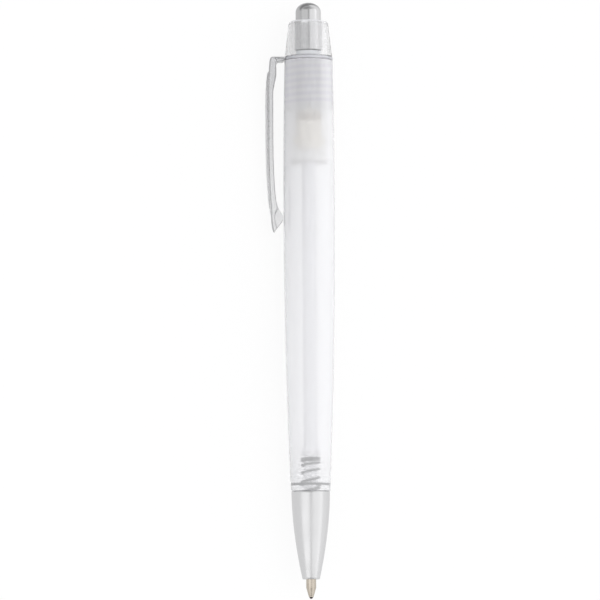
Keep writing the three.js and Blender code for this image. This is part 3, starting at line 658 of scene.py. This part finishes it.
def barrel_radius(station):
    """The belly's radius less a parabola towards each end."""
    end_radius = np.where(station < BELLY, FOOT_RADIUS, TOP_RADIUS)
    end_station = np.where(station < BELLY, SHOULDER, BARREL_TOP)
    return BELLY_RADIUS - (BELLY_RADIUS - end_radius) * ((station - BELLY) / (end_station - BELLY)) ** 2


def ridge_height(station, angle, start, stop):
    """Height share of a right-handed thread ridge: 1 on its crest, sloping to 0 over each flank."""
    first = start + THREAD_ROOT / 2
    turns = (station - first) / THREAD_PITCH - angle / (2 * np.pi)
    from_crest = np.abs((turns + 0.5) % 1.0 - 0.5) * THREAD_PITCH
    flank = 1 - smooth_step(from_crest, THREAD_CREST / 2, THREAD_ROOT / 2 + 0.05)
    ends = smooth_step(station, start, start + 0.5) * (1 - smooth_step(station, stop - 0.5, stop))
    return flank * ends


def female_thread(radius, station, angle):
    """The bore narrows by the ridge's height in the threaded zone."""
    inside = (np.abs(radius - THREAD_BORE) < 0.01) & (station > COUNTERBORE + 0.1)
    ridge = ridge_height(station, angle, BARREL_THREAD_FROM, THREAD_TO)
    return np.where(inside, radius - THREAD_DEPTH * ridge, radius), station


wall_station = np.linspace(SHOULDER + 0.15, BARREL_TOP - EDGE_BREAK, 90)
barrel_profile = np.concatenate([
    rounded([(WELL_RADIUS, SPIGOT_FOOT), (SPIGOT_RADIUS, SPIGOT_FOOT), (SPIGOT_RADIUS, SHOULDER)], 0.1,
            closed=False),
    [(FOOT_RADIUS - 0.14, SHOULDER), (FOOT_RADIUS - 0.04, SHOULDER + 0.05)],
    np.stack([barrel_radius(wall_station), wall_station], axis=1),
    [(TOP_RADIUS - 0.04, BARREL_TOP - 0.03), (TOP_RADIUS - EDGE_BREAK, BARREL_TOP),
     (THREAD_BORE + 0.08, BARREL_TOP)],
    finer([(THREAD_BORE, BARREL_TOP - 0.08), (THREAD_BORE, COUNTERBORE)], THREAD_STEP),
    finer([(BORE_TOP, COUNTERBORE), (BORE_FOOT, FLOOR + FLOOR_CHAMFER)], 6.0),
    [(BORE_FOOT - FLOOR_CHAMFER, FLOOR), (WELL_RADIUS, FLOOR)],
])
barrel = turned("barrel_skin", barrel_profile, sides=144, shape=female_thread, smooth_to=42.0)


def shade_bands(tree, place):
    """Painted shade of the thread seen through the wall: 1 along the middle of each turn of the thread and 0
    between, in the threaded zone only: the place's station in pitches, less its share of a turn, counts the
    turns from the first crest."""
    offset = add_node(tree, "ShaderNodeVectorMath", {"operation": "SUBTRACT", 1: tuple(ball_end.tolist())},
                      {0: place})
    aside, station_here, above = (
        add_node(tree, "ShaderNodeVectorMath", {"operation": "DOT_PRODUCT", 1: tuple(axis.tolist())},
                 {0: offset.outputs[0]}).outputs["Value"]
        for axis in (across_axis, station_axis, up_axis))
    angle = add_node(tree, "ShaderNodeMath", {"operation": "ARCTAN2"}, {0: aside, 1: above})
    turn_share = add_node(tree, "ShaderNodeMath", {"operation": "MULTIPLY", 1: -1 / (2 * math.pi)},
                          {0: angle.outputs[0]})
    turns = add_node(tree, "ShaderNodeMath",
                     {"operation": "MULTIPLY_ADD", 1: 1 / (THREAD_PITCH * MILLIMETRE)},
                     {0: station_here, 2: turn_share.outputs[0]})
    first_crest = (BARREL_THREAD_FROM + THREAD_ROOT / 2) / THREAD_PITCH
    from_first = add_node(tree, "ShaderNodeMath", {"operation": "SUBTRACT", 1: first_crest},
                          {0: turns.outputs[0]})
    from_crest = add_node(tree, "ShaderNodeMath", {"operation": "PINGPONG", 1: 0.5},
                          {0: from_first.outputs[0]})
    band_shade = add_node(tree, "ShaderNodeMapRange",
                    {"interpolation_type": "SMOOTHSTEP", "From Min": SHADE_BAND_MIDDLE, "From Max": SHADE_BAND_EDGE,
                     "To Min": 1.0, "To Max": 0.0}, {"Value": from_crest.outputs[0]})
    threaded = add_node(tree, "ShaderNodeMapRange",
                        {"interpolation_type": "SMOOTHSTEP",
                         "From Min": (BARREL_THREAD_FROM - SHADE_BANDS_BEFORE) * MILLIMETRE,
                         "From Max": (BARREL_THREAD_FROM + SHADE_BANDS_AFTER) * MILLIMETRE},
                        {"Value": station_here})
    thread_shade = add_node(tree, "ShaderNodeMath", {"operation": "MULTIPLY"},
                    {0: band_shade.outputs[0], 1: threaded.outputs[0]})
    return thread_shade.outputs[0]


# moulded in a spark-eroded tool: clear plastic with a satin skin, its grain about 0.15 mm. Over the screw
# thread each turn, every 1.6 mm, is painted as a faint grey band of shade that winds round with it: painted
# shade for the thread inside, seen through the wall
frosted = grained("frosted_moulded_barrel_plastic", ("#fdfdff", "#f7f6fc"),
                  {"IOR": 1.4, "Transmission Weight": 0.66}, scale=6500.0, detail=2.0,
                  polish=(0.12, 0.17, 0.3, 0.7), relief=(0.05, 0.02), by={"colour": shade_bands})
barrel.data.materials.append(frosted)
# the inner walls come off a polished core, so they are nearly clear, with only a faint change of polish
# every few millimetres
clear = grained("clear_moulded_inner_wall", "#ffffff", {"IOR": 1.3, "Transmission Weight": 1.0},
                scale=260.0, detail=1.0, polish=(0.07, 0.11))
# the two threads are pressed together, so light crosses their faces almost as if the plastic went on, and
# only a dull bloom of the moulding shows
thread_faces = grained("moulded_screw_thread", "#f3f3f6", {"IOR": 1.2, "Alpha": 0.03},
                       scale=2600.0, detail=2.0, polish=(0.3, 0.42))
# painted shade: the collar's ridge is painted a faint grey-lavender, which lays darker bands over the thread
# zone, and it shows as a pale grey ridge when the top is off
ridge_shade_paint = grained("painted_shade_screw_ridge", "#a3a0b8", {"IOR": 1.3, "Alpha": 0.1},
                       scale=2600.0, detail=2.0, polish=(0.3, 0.42))
# painted shade: the chamfer round the bore's floor is painted near black, so it is seen as one thin dark line
floor_shade_paint = grained("painted_shade_bore_chamfer", ("#1e1e20", "#343436"), {"Roughness": 0.7, "IOR": 1.47},
                     scale=5000.0, relief=(0.4, 0.03))
paint_where(barrel, clear,
            lambda radius, station: ((radius < barrel_radius(station) - 0.1) & (station > SHOULDER + 0.02))
            | (station < SHOULDER - 0.02))
paint_where(barrel, thread_faces,
            lambda radius, station: (station > COUNTERBORE + 0.02) & (radius < THREAD_BORE + 0.01))
# painted shade: the floor's chamfer goes near black
paint_where(barrel, floor_shade_paint,
            lambda radius, station: (np.abs(station - FLOOR - FLOOR_CHAMFER / 2) < 0.05)
            & (radius < BORE_FOOT))
# painted shade: the barrel's rim and the collar's rim next to the ring are painted a dull dark grey, so the
# ring lies between two thin grey lines, the shade of the air gaps on either side of it
rim_shade_paint = grained("painted_shade_moulded_rim", ("#66656c", "#84838a"), {"Roughness": 0.6, "IOR": 1.47}, scale=1200.0)
paint_where(barrel, rim_shade_paint,
            lambda radius, station: (station > BARREL_TOP - 0.04) & (radius > TOP_RADIUS - 0.13))
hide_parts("barrel")
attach(barrel, "barrel_body")


# Collar: the frosted cap that the button runs in. Its threaded spigot screws into the barrel and holds
# the cam sleeve by the neck.
COLLAR_FOOT = 127.1
COLLAR_TOP = 135.55
COLLAR_FOOT_RADIUS = 5.55
COLLAR_TOP_RADIUS = 4.7
COLLAR_FILLET = 0.95
FLAT_TOP_SHARE = 0.98
MOUTH_DEPTH = 0.4
COLLAR_BORE = 3.25
NECK_BORE = 3.75
NECK_TOP = 127.2
SPIGOT_END = 114.8
THREAD_FOOT = 4.35
COLLAR_THREAD_FROM = 115.2


def male_thread(radius, station, angle):
    """The spigot's outside swells by the ridge's height."""
    in_zone = (station > SPIGOT_END + 0.1) & (station < COLLAR_FOOT - 0.1)
    outside = (np.abs(radius - THREAD_FOOT) < 0.01) & in_zone
    ridge = ridge_height(station, angle, COLLAR_THREAD_FROM, THREAD_TO)
    return np.where(outside, radius + THREAD_DEPTH * ridge, radius), station


quarter = np.linspace(0.0, np.pi / 2, 14)
collar_arc = np.stack([COLLAR_TOP_RADIUS - COLLAR_FILLET * (1 - np.cos(quarter)),
                       COLLAR_TOP - COLLAR_FILLET + COLLAR_FILLET * np.sin(quarter)], axis=1)
collar_profile = np.concatenate([
    [(NECK_BORE, SPIGOT_END), (THREAD_FOOT - 0.1, SPIGOT_END)],
    finer([(THREAD_FOOT, SPIGOT_END + 0.1), (THREAD_FOOT, COLLAR_FOOT)], THREAD_STEP),
    [(COLLAR_FOOT_RADIUS - EDGE_BREAK, COLLAR_FOOT), (COLLAR_FOOT_RADIUS - 0.03, COLLAR_FOOT + 0.04),
     (COLLAR_FOOT_RADIUS - 0.01, COLLAR_FOOT + 0.14)],
    collar_arc,
    [(COLLAR_BORE + 0.1, COLLAR_TOP), (COLLAR_BORE, COLLAR_TOP - 0.1), (COLLAR_BORE, NECK_TOP + 0.1),
     (NECK_BORE, NECK_TOP + 0.1)],
])
collar = turned("collar_skin", collar_profile, sides=144, shape=male_thread, smooth_to=42.0)
# the same plastic as the barrel and clearer, with a satin skin that blurs what stands behind it
frosted_cap = grained("frosted_moulded_cap_plastic", "#fefeff", {"IOR": 1.4, "Transmission Weight": 0.94},
                      scale=6500.0, detail=2.0, polish=(0.24, 0.28, 0.3, 0.7), relief=(0.02, 0.02))
collar.data.materials.append(frosted_cap)


def collar_radius(station):
    """The cap's taper from foot to top, less the fillet at the top. Past the fillet it drops below
    zero, so that the flat top counts as outside."""
    taper_part = np.clip((station - COLLAR_FOOT) / (COLLAR_TOP - COLLAR_FILLET - COLLAR_FOOT), 0.0, 1.0)
    over = np.clip((station - COLLAR_TOP + COLLAR_FILLET) / COLLAR_FILLET, 0.0, 1.0)
    taper_radius = COLLAR_FOOT_RADIUS + (COLLAR_TOP_RADIUS - COLLAR_FOOT_RADIUS) * taper_part
    fillet = COLLAR_FILLET * (1 - np.sqrt(1 - over ** 2)) * (over < FLAT_TOP_SHARE)
    return taper_radius - fillet - 9.0 * (over >= FLAT_TOP_SHARE)


paint_where(collar, clear,
            lambda radius, station: (radius < collar_radius(station) - 0.1) | (station < COLLAR_FOOT + 0.02))
# the mould shuts off round the collar's mouth and leaves it matt and whitish, with pits of about 0.2 mm
collar_mouth = grained("matt_collar_mouth_plastic", "#f0f0f3", {"IOR": 1.3, "Transmission Weight": 0.35},
                       scale=5000.0, detail=2.0, polish=(0.35, 0.5))
paint_where(collar, collar_mouth,
            lambda radius, station: (station > COLLAR_TOP - MOUTH_DEPTH) & (radius > COLLAR_BORE + 0.01))
paint_where(collar, thread_faces,
            lambda radius, station: (station < COLLAR_FOOT) & (radius > THREAD_FOOT - 0.06))
# painted shade on the collar's thread ridge
paint_where(collar, ridge_shade_paint,
            lambda radius, station: (station < COLLAR_FOOT) & (radius > THREAD_FOOT + 0.05))
# painted shade on the collar's foot rim, next to the ring
paint_where(collar, rim_shade_paint,
            lambda radius, station: (np.abs(station - COLLAR_FOOT - 0.03) < 0.05)
            & (radius > COLLAR_FOOT_RADIUS - 0.13))
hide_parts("collar")
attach(collar, "collar_body")


# Clip: one moulding of the same plastic. A flat ring, held between collar and barrel, a tab, and an arm
# that bends down beside the barrel, with a raised rib outside and a foot that presses on the barrel.
RING_LOW = 126.3
RING_HIGH = 127.0
RING_BORE = 5.0
RING_RADIUS = 5.66
# the edges painted with shade lie further from the axis than these places across, on the arm, and on the tab
# above a station; the tab leaves the ring at its root
ARM_EDGES_FROM = -7.4
TAB_EDGES_FROM = -5.8
TAB_EDGES_ABOVE = 126.8
TAB_ROOT = -5.3
# the stations where the clip's painted shade is deepest and faintest, and the bend's two ends, across and
# station
GREYEST_AT = 124.0
PALEST_AT = 92.0
BEND_START = (-6.6, 126.9)
BEND_END = (-7.4, 126.3)
ring_profile = rounded([(RING_BORE, RING_LOW), (RING_RADIUS, RING_LOW), (RING_RADIUS, RING_HIGH),
                        (RING_BORE, RING_HIGH)], EDGE_BREAK)
ring = turned("clip_ring_part", ring_profile, sides=128)


def spline(knots, count):
    """A smooth curve through knots by cubic Hermite spans with centred slopes, at even steps."""
    knots = np.array(knots, float)
    slopes = np.gradient(knots, axis=0)
    at = np.linspace(0.0, len(knots) - 1.0, count)
    span = np.minimum(at.astype(int), len(knots) - 2)
    t = (at - span)[:, None]
    return ((2 * t ** 3 - 3 * t ** 2 + 1) * knots[span] + (t ** 3 - 2 * t ** 2 + t) * slopes[span]
            + (3 * t ** 2 - 2 * t ** 3) * knots[span + 1] + (t ** 3 - t ** 2) * slopes[span + 1])


# each row across the clip: its inner face, its strap's outer face and its rib's outer face as (reach
# from the axis, station), then half the width of the strap and of the rib
clip_rows = np.array([
    # inner          strap           rib             widths
    (5.40, 126.32, 5.40, 126.98, 5.40, 126.99, 2.20, 1.40),
    (5.75, 126.32, 6.00, 126.98, 6.00, 126.99, 2.20, 1.40),
    (6.15, 126.04, 6.90, 126.99, 6.90, 127.00, 2.20, 1.40),
    (7.20, 126.00, 8.25, 127.00, 8.25, 127.01, 2.20, 1.40),
    (7.52, 125.75, 8.82, 126.84, 8.82, 126.85, 2.20, 1.40),
    (7.60, 125.20, 9.08, 126.25, 9.08, 126.26, 2.20, 1.40),
    (7.58, 124.40, 9.22, 125.20, 9.23, 125.20, 2.20, 1.40),
    (7.57, 123.90, 9.32, 123.95, 9.33, 123.95, 2.20, 1.40),
    (7.57, 123.40, 9.35, 123.55, 9.39, 123.60, 2.20, 1.40),
    (7.60, 122.90, 9.36, 123.20, 9.62, 123.28, 2.20, 1.40),
    (7.70, 122.30, 9.38, 122.60, 9.78, 122.62, 2.20, 1.40),
    (7.88, 121.40, 9.40, 121.40, 9.90, 121.40, 2.20, 1.40),
    (8.08, 120.40, 9.42, 120.40, 9.99, 120.40, 2.20, 1.40),
    (8.27, 119.40, 9.43, 119.40, 10.06, 119.40, 2.20, 1.40),
    (8.33, 118.40, 9.44, 118.20, 10.12, 118.20, 2.20, 1.40),
    (8.35, 115.00, 9.44, 115.00, 10.15, 115.00, 2.20, 1.40),
    (8.35, 110.00, 9.44, 110.00, 10.15, 110.00, 2.20, 1.40),
    (8.33, 105.00, 9.43, 105.00, 10.13, 105.00, 2.20, 1.38),
    (8.22, 100.50, 9.36, 100.50, 10.02, 100.50, 2.18, 1.34),
    (8.08, 97.20, 9.25, 97.20, 9.86, 97.20, 2.15, 1.30),
    (7.84, 94.20, 9.12, 94.20, 9.68, 94.20, 2.12, 1.26),
    (7.56, 92.30, 8.98, 92.20, 9.46, 92.20, 2.08, 1.20),
    (7.38, 91.40, 8.90, 91.20, 9.30, 91.20, 2.06, 1.16),
    (7.66, 90.80, 8.84, 90.40, 9.18, 90.40, 2.04, 1.12),
    (8.00, 90.05, 8.78, 89.70, 9.08, 89.70, 2.02, 1.08),
    (8.08, 89.30, 8.73, 89.00, 9.00, 89.00, 2.00, 1.04),
    (8.02, 88.60, 8.68, 88.30, 8.92, 88.30, 1.98, 1.00),
    (7.86, 87.90, 8.62, 87.60, 8.84, 87.50, 1.94, 0.96),
    (7.68, 87.20, 8.54, 86.90, 8.74, 86.80, 1.88, 0.90),
    (7.86, 86.45, 8.44, 86.30, 8.58, 86.20, 1.76, 0.80),
    (8.12, 85.90, 8.30, 85.82, 8.40, 85.80, 1.60, 0.70),
])
rows = spline(clip_rows, 420)
# columns round the section: shares of the inner, strap and rib points, and of the two half widths
lower_half = np.array([
    # inner  strap   rib    strap width  rib width
    (1.00, 0.00, 0.00, 0.00, 0.00),
    (1.00, 0.00, 0.00, 0.45, 0.00),
    (1.00, 0.00, 0.00, 0.86, 0.00),
    (0.96, 0.04, 0.00, 0.95, 0.00),
    (0.84, 0.16, 0.00, 1.00, 0.00),
    (0.50, 0.50, 0.00, 1.00, 0.00),
    (0.16, 0.84, 0.00, 1.00, 0.00),
    (0.04, 0.96, 0.00, 0.95, 0.00),
    (0.00, 1.00, 0.00, 0.88, 0.00),
    (0.00, 1.00, 0.00, 0.00, 1.16),
    (0.00, 0.92, 0.08, 0.00, 1.05),
    (0.00, 0.45, 0.55, 0.00, 0.98),
    (0.00, 0.12, 0.88, 0.00, 0.94),
    (0.00, 0.00, 1.00, 0.00, 0.80),
    (0.00, 0.00, 1.00, 0.00, 0.40),
    (0.00, 0.00, 1.00, 0.00, 0.00),
])
upper_half = lower_half[-2:0:-1] * [1, 1, 1, -1, -1]
columns = np.concatenate([lower_half, upper_half])
reach_out = rows[:, [0, 2, 4]] @ columns[:, :3].T
clip_station = rows[:, [1, 3, 5]] @ columns[:, :3].T
clip_side = rows[:, [6]] * columns[:, 3] + rows[:, [7]] * columns[:, 4]
# both ends are drawn together to a point, which closes them
grid = np.stack([reach_out, clip_station, clip_side], axis=-1)
ends = [np.repeat(grid[i].mean(axis=0)[None], len(columns), axis=0)[None] for i in (0, -1)]
grid = np.concatenate([ends[0], grid, ends[1]])
arm = skin("clip_arm_part", on_pen(-grid[..., 0], grid[..., 1], grid[..., 2]), smooth_to=40.0)
# the foot: a narrower pad that fills the strap's hollow and presses on the barrel
FOOT_HALF_WIDTH = 1.35
foot_outline = rounded([(7.60, 92.20), (7.10, 91.10), (6.52, 90.15), (6.09, 89.55), (6.08, 88.75),
                        (6.55, 88.05), (7.60, 86.70), (8.20, 86.10), (8.55, 87.20), (8.55, 90.20)], 0.3)
foot_middle = foot_outline.mean(axis=0)
foot_rows = np.array([(-1.0, 0.0), (-1.0, 0.86), (-0.97, 0.95), (-0.88, 1.0), (0.88, 1.0), (0.97, 0.95),
                      (1.0, 0.86), (1.0, 0.0)])
foot_points = foot_middle + (foot_outline - foot_middle)[None] * foot_rows[:, 1, None, None]
foot_side = np.repeat(foot_rows[:, :1] * FOOT_HALF_WIDTH, len(foot_outline), axis=1)
foot = skin("clip_foot_part", on_pen(-foot_points[..., 0], foot_points[..., 1], foot_side), smooth_to=40.0)
for part_object in (arm, foot):
    join = ring.modifiers.new("one_moulding", "BOOLEAN")
    join.operation = "UNION"
    join.solver = "EXACT"
    join.object = part_object
moulded = bpy.data.meshes.new_from_object(ring.evaluated_get(bpy.context.evaluated_depsgraph_get()))
clip = bpy.data.objects.new("clip_moulding", moulded)
bpy.context.collection.objects.link(clip)
for part_object in (ring, arm, foot):
    bpy.data.objects.remove(part_object)
moulded.shade_smooth()
moulded.set_sharp_from_angle(angle=math.radians(40.0))


def shade_from_root(tree, place):
    """0 at the clip's root and 1 towards its foot: where the painted shade has faded."""
    along = add_node(tree, "ShaderNodeSeparateXYZ", {}, {0: place})
    share = add_node(tree, "ShaderNodeMapRange",
                     {"From Min": on_pen(0, GREYEST_AT, 0)[0], "From Max": on_pen(0, PALEST_AT, 0)[0]},
                     {"Value": along.outputs["X"]})
    return share.outputs[0]


# the same plastic, painted greyer than the barrel as painted shade for a piece that is all edges with no wall
# behind it, and greyest at its root, where it is thickest
frosted_clip = grained("frosted_clip_plastic_painted_shade", ("#e9e9eb", "#f5f5f6"),
                       {"IOR": 1.49, "Transmission Weight": 0.85}, scale=6000.0, detail=2.0,
                       polish=(0.1, 0.16, 0.3, 0.7), relief=(0.14, 0.02), by={"colour": shade_from_root})
# painted shade: the rounded side edges of the same moulding are painted a darker grey, which draws the thin
# darker outline that they show as they lose light sideways
clip_edge_shade = grained("painted_edge_shade_clip_plastic", "#a8a8aa", {"IOR": 1.49, "Transmission Weight": 0.8},
                     scale=1500.0, polish=(0.2, 0.4))
moulded.materials.clear()
moulded.materials.append(frosted_clip)
moulded.materials.append(clip_edge_shade)
normals = np.empty(len(moulded.polygons) * 3)
moulded.polygons.foreach_get("normal", normals)
tilt = np.abs(normals.reshape(-1, 3) @ up_axis)
sizes = face_sizes(moulded)
on_arm = sizes[:, 0] < ARM_EDGES_FROM
on_tab = (sizes[:, 0] < TAB_EDGES_FROM) & (sizes[:, 1] > TAB_EDGES_ABOVE)
# the faces that get the painted edge shade
beside = (on_arm | on_tab) & (tilt > 0.3) & (tilt < 0.9)
# the ring's side lies on the mould's parting line and is left matt and whitish
ring_side = grained("matt_ring_side_plastic", "#d6d6dc", {"IOR": 1.3, "Transmission Weight": 0.45},
                    scale=6000.0, detail=2.0, polish=(0.35, 0.5))
moulded.materials.append(ring_side)
on_ring = (np.hypot(sizes[:, 0], sizes[:, 2]) > RING_RADIUS - 0.06) & (sizes[:, 0] > TAB_ROOT)
moulded.polygons.foreach_set("material_index", np.where(on_ring, 2, beside).astype(np.int32))
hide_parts("clip_ring", "clip_arm")
on_pen(*BEND_START, 0)
on_pen(*BEND_END, 0)
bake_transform(clip)


# Cam sleeve: natural acetal, held by its neck in the collar's spigot. Four leaning lugs inside its
# skirt steer the rotor, and two slots in its neck keep the plunger from turning.
SLEEVE_RADIUS = 4.03
SLEEVE_LOW = 101.8
SLEEVE_SHOULDER = 114.7
RIM_HEIGHT = 0.5
CHAMBER_RADIUS = 3.5
CHAMBER_TOP = 114.0
NECK_RADIUS = 3.65
CORE_BORE = 2.9
LUG_LOW = 108.5
FIN_LOW = 106.5
FIN_COUNT = 4
FIN_WIDTH = math.radians(20.0)
LUG_WIDTH = math.radians(62.1)
CAM_RAMP = 0.9
CAM_STEP = 0.06
CAM_LEAD = math.radians(45.0) / 5.5


def leaning_mask(station, angle, low, high, width, offset, soft):
    """1 on four blocks that lean with the cam's lead, with sides softened by an angle."""
    spacing = 2 * np.pi / FIN_COUNT
    from_middle = (angle - CAM_LEAD * (station - FIN_LOW)) / spacing - offset
    off = np.abs((from_middle + 0.5) % 1.0 - 0.5) * spacing
    sides = 1 - smooth_step(off, width / 2 - soft, width / 2 + soft)
    above_low = smooth_step(station, low - 0.04, low + 0.04)
    return sides * above_low * (1 - smooth_step(station, high - 0.04, high + 0.04))


def lugs(radius, station, angle):
    """Inside the chamber the wall comes in to the core bore where a lug stands."""
    chamber = np.abs(radius - CHAMBER_RADIUS) < 0.01
    lug = leaning_mask(station, angle, LUG_LOW + CAM_RAMP / 2, CHAMBER_TOP + 1, LUG_WIDTH, 0.5, 0.03)
    return np.where(chamber, radius - (CHAMBER_RADIUS - CORE_BORE) * lug, radius), station


sleeve_profile = np.concatenate([
    rounded([(SLEEVE_RADIUS - 0.15, SLEEVE_LOW), (SLEEVE_RADIUS, SLEEVE_LOW + RIM_HEIGHT),
             (SLEEVE_RADIUS, SLEEVE_SHOULDER), (NECK_RADIUS, SLEEVE_SHOULDER),
             (NECK_RADIUS, NECK_TOP), (CORE_BORE, NECK_TOP), (CORE_BORE, CHAMBER_TOP)], EDGE_BREAK,
            closed=False),
    finer([(CHAMBER_RADIUS, CHAMBER_TOP), (CHAMBER_RADIUS, LUG_LOW - 0.3)], CAM_STEP),
    [(CHAMBER_RADIUS, SLEEVE_LOW)],
])
sleeve = turned("cam_sleeve_skin", sleeve_profile, sides=180, shape=lugs)
# unpigmented acetal: a milky white with a waxy skin and faint flow marks some millimetres long. It lets most
# light through, so alpha makes it see-through, which costs the frosted walls round it no light
natural = grained("natural_moulded_acetal", ("#f6f5f2", "#fcfbf8"),
                  {"Roughness": 0.35, "IOR": 1.3, "Alpha": 0.2}, scale=350.0, Distortion=0.6)
sleeve.data.materials.append(natural)
# painted shade: the bevelled lower rim is painted a darker grey, so it shows as a faint grey line
sleeve_rim_shade = grained("painted_shade_acetal_rim", ("#8a8784", "#a19e9a"), {"Roughness": 0.5, "IOR": 1.3, "Alpha": 0.3},
                     scale=2000.0)
# painted shade on the sleeve's lower rim
paint_where(sleeve, sleeve_rim_shade, lambda radius, station: station < SLEEVE_LOW + RIM_HEIGHT - 0.05)
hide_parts("cam_sleeve")
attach(sleeve, "collar_body")


# Rotor: ivory acetal, seated on the end of the refill. Eight V teeth face the plunger's, and four
# leaning fins run between the sleeve's lugs.
ROTOR_LOW = 105.3
ROTOR_VALLEY = 112.2
CORE_RADIUS = 2.75
ROTOR_SKIRT = 2.3
REFILL_ROOM = 1.7
FIN_RADIUS = 3.35
FIN_HIGH = 108.1
PILOT_RADIUS = 1.5
PILOT_TOP = 117.1
TEETH = 8
CROWN_HEIGHT = 1.9


def tooth_wave(angle):
    """0 in each valley and 1 on each point of the V teeth: a triangle wave round the axis."""
    return np.abs((angle / (2 * np.pi) * TEETH) % 1.0 - 0.5) * 2


def rotor_form(radius, station, angle):
    """The crown's edge rises by the tooth wave, and the core reaches out where a fin stands."""
    crown = (np.abs(station - ROTOR_VALLEY) < 0.02) & (radius > PILOT_RADIUS - 0.01)
    fin = leaning_mask(station, angle, FIN_LOW, FIN_HIGH, FIN_WIDTH, 0.0, 0.03)
    core = (np.abs(radius - CORE_RADIUS) < 0.01) & (station < ROTOR_VALLEY - 0.5)
    return (np.where(core, radius + (FIN_RADIUS - CORE_RADIUS) * fin, radius),
            np.where(crown, station + CROWN_HEIGHT * tooth_wave(angle), station))


rotor_profile = np.concatenate([
    [(REFILL_ROOM, ROTOR_LOW), (ROTOR_SKIRT - 0.1, ROTOR_LOW), (ROTOR_SKIRT, ROTOR_LOW + 0.1),
     (CORE_RADIUS, ROTOR_LOW + 1.0)],
    finer([(CORE_RADIUS, ROTOR_LOW + 1.05), (CORE_RADIUS, FIN_HIGH + 0.5)], CAM_STEP),
    [(CORE_RADIUS, ROTOR_VALLEY - 0.3), (CORE_RADIUS, ROTOR_VALLEY), (PILOT_RADIUS, ROTOR_VALLEY),
     (PILOT_RADIUS, PILOT_TOP - 0.3), (PILOT_RADIUS - 0.3, PILOT_TOP), (0.0, PILOT_TOP)],
])
rotor_profile = np.concatenate([[(0.0, REFILL_END + 0.1), (REFILL_ROOM, REFILL_END + 0.1)], rotor_profile])
rotor = turned("rotor_skin", rotor_profile, sides=192, closed=False, shape=rotor_form)
# pigmented acetal: warm ivory with a waxy half gloss and faint flow marks
ivory = grained("ivory_moulded_acetal", ("#ebe2d2", "#f4eee2"), {"Roughness": 0.42, "IOR": 1.48}, scale=500.0)
rotor.data.materials.append(ivory)
# the crown of V teeth that the plunger rides on, drawn in a darker brown
teeth_paint = grained("darker_brown_ivory_teeth", ("#a8957c", "#bfae98"), {"Roughness": 0.5, "IOR": 1.48},
                      scale=1500.0)
paint_where(rotor, teeth_paint,
            lambda radius, station: (station > ROTOR_VALLEY - 0.29) & (radius > PILOT_RADIUS + 0.1))
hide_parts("rotor")
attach(rotor, "rotor_body")


# Plunger: grey acetal tube under the button. Its V crown drives the rotor's, and two ears run in the
# sleeve's slots.
PLUNGER_VALLEY = 116.2
PLUNGER_TOP = 128.4
PLUNGER_BORE = 1.7
PEG_RADIUS = 2.2
PEG_TOP = 134.0
EAR_LOW = 118.2
EAR_HIGH = 119.7
EAR_REACH = 3.45
EAR_HALF_WIDTH = 0.5


def plunger_form(radius, station, angle):
    """The lower edge drops by the tooth wave to its points, and two ears stand out above and below."""
    crown = np.abs(station - PLUNGER_VALLEY) < 0.02
    off_plane = EAR_REACH * np.abs(np.sin(angle))
    ear = 1 - smooth_step(off_plane, EAR_HALF_WIDTH - 0.05, EAR_HALF_WIDTH + 0.05)
    ear = ear * smooth_step(station, EAR_LOW, EAR_LOW + 0.08)
    ear = ear * (1 - smooth_step(station, EAR_HIGH - 0.08, EAR_HIGH))
    wall = np.abs(radius - CORE_RADIUS) < 0.01
    return (np.where(wall, radius + (EAR_REACH - CORE_RADIUS) * ear, radius),
            np.where(crown, PLUNGER_VALLEY - CROWN_HEIGHT * (1 - tooth_wave(angle)), station))


plunger_profile = np.concatenate([
    [(PLUNGER_BORE, PLUNGER_VALLEY), (CORE_RADIUS, PLUNGER_VALLEY)],
    finer([(CORE_RADIUS, EAR_LOW - 0.3), (CORE_RADIUS, EAR_HIGH + 0.3)], CAM_STEP),
    rounded([(CORE_RADIUS, EAR_HIGH + 1.0), (CORE_RADIUS, PLUNGER_TOP), (PEG_RADIUS, PLUNGER_TOP),
             (PEG_RADIUS, PEG_TOP), (0.0, PEG_TOP)], 0.1, closed=False),
])
plunger_profile = np.concatenate([[(0.0, PLUNGER_TOP - 1.0), (PLUNGER_BORE, PLUNGER_TOP - 1.0)],
                                  plunger_profile])
plunger = turned("plunger_skin", plunger_profile, sides=192, closed=False, shape=plunger_form)
# pigmented acetal: a cool pale grey, waxy, with faint flow marks
grey = grained("grey_moulded_acetal", ("#e8eaee", "#f2f4f7"), {"Roughness": 0.45, "IOR": 1.48}, scale=500.0)
plunger.data.materials.append(grey)
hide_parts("plunger")
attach(plunger, "button_body")


# Push button: a moulded cup with a domed top, silvered like the tip cone and pressed onto the
# plunger's peg.
BUTTON_RADIUS = 3.0
BUTTON_LOW = 128.5
BUTTON_TOP = 140.0
DOME_HEIGHT = 2.3
dome = np.stack([BUTTON_RADIUS * np.cos(quarter),
                 BUTTON_TOP - DOME_HEIGHT + DOME_HEIGHT * np.sin(quarter)], axis=1)
dome[-1, 0] = 0.0
button_profile = np.concatenate([
    [(0.0, PEG_TOP + 0.1), (PEG_RADIUS + 0.1, PEG_TOP + 0.1), (PEG_RADIUS + 0.1, BUTTON_LOW),
     (BUTTON_RADIUS - EDGE_BREAK, BUTTON_LOW), (BUTTON_RADIUS, BUTTON_LOW + EDGE_BREAK)],
    dome,
])
button = turned("push_button_skin", button_profile, sides=128, closed=False)
# the same metallising, rubbed smoother by thumbs, with faint round marks about a millimetre across
thumbed = grained("thumb_polished_metallised_plastic", "#cfcfd0", {"Metallic": 1.0},
                  scale=900.0, polish=(0.16, 0.22, 0.35, 0.65))
button.data.materials.append(thumbed)
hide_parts("push_button")
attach(button, "button_body")
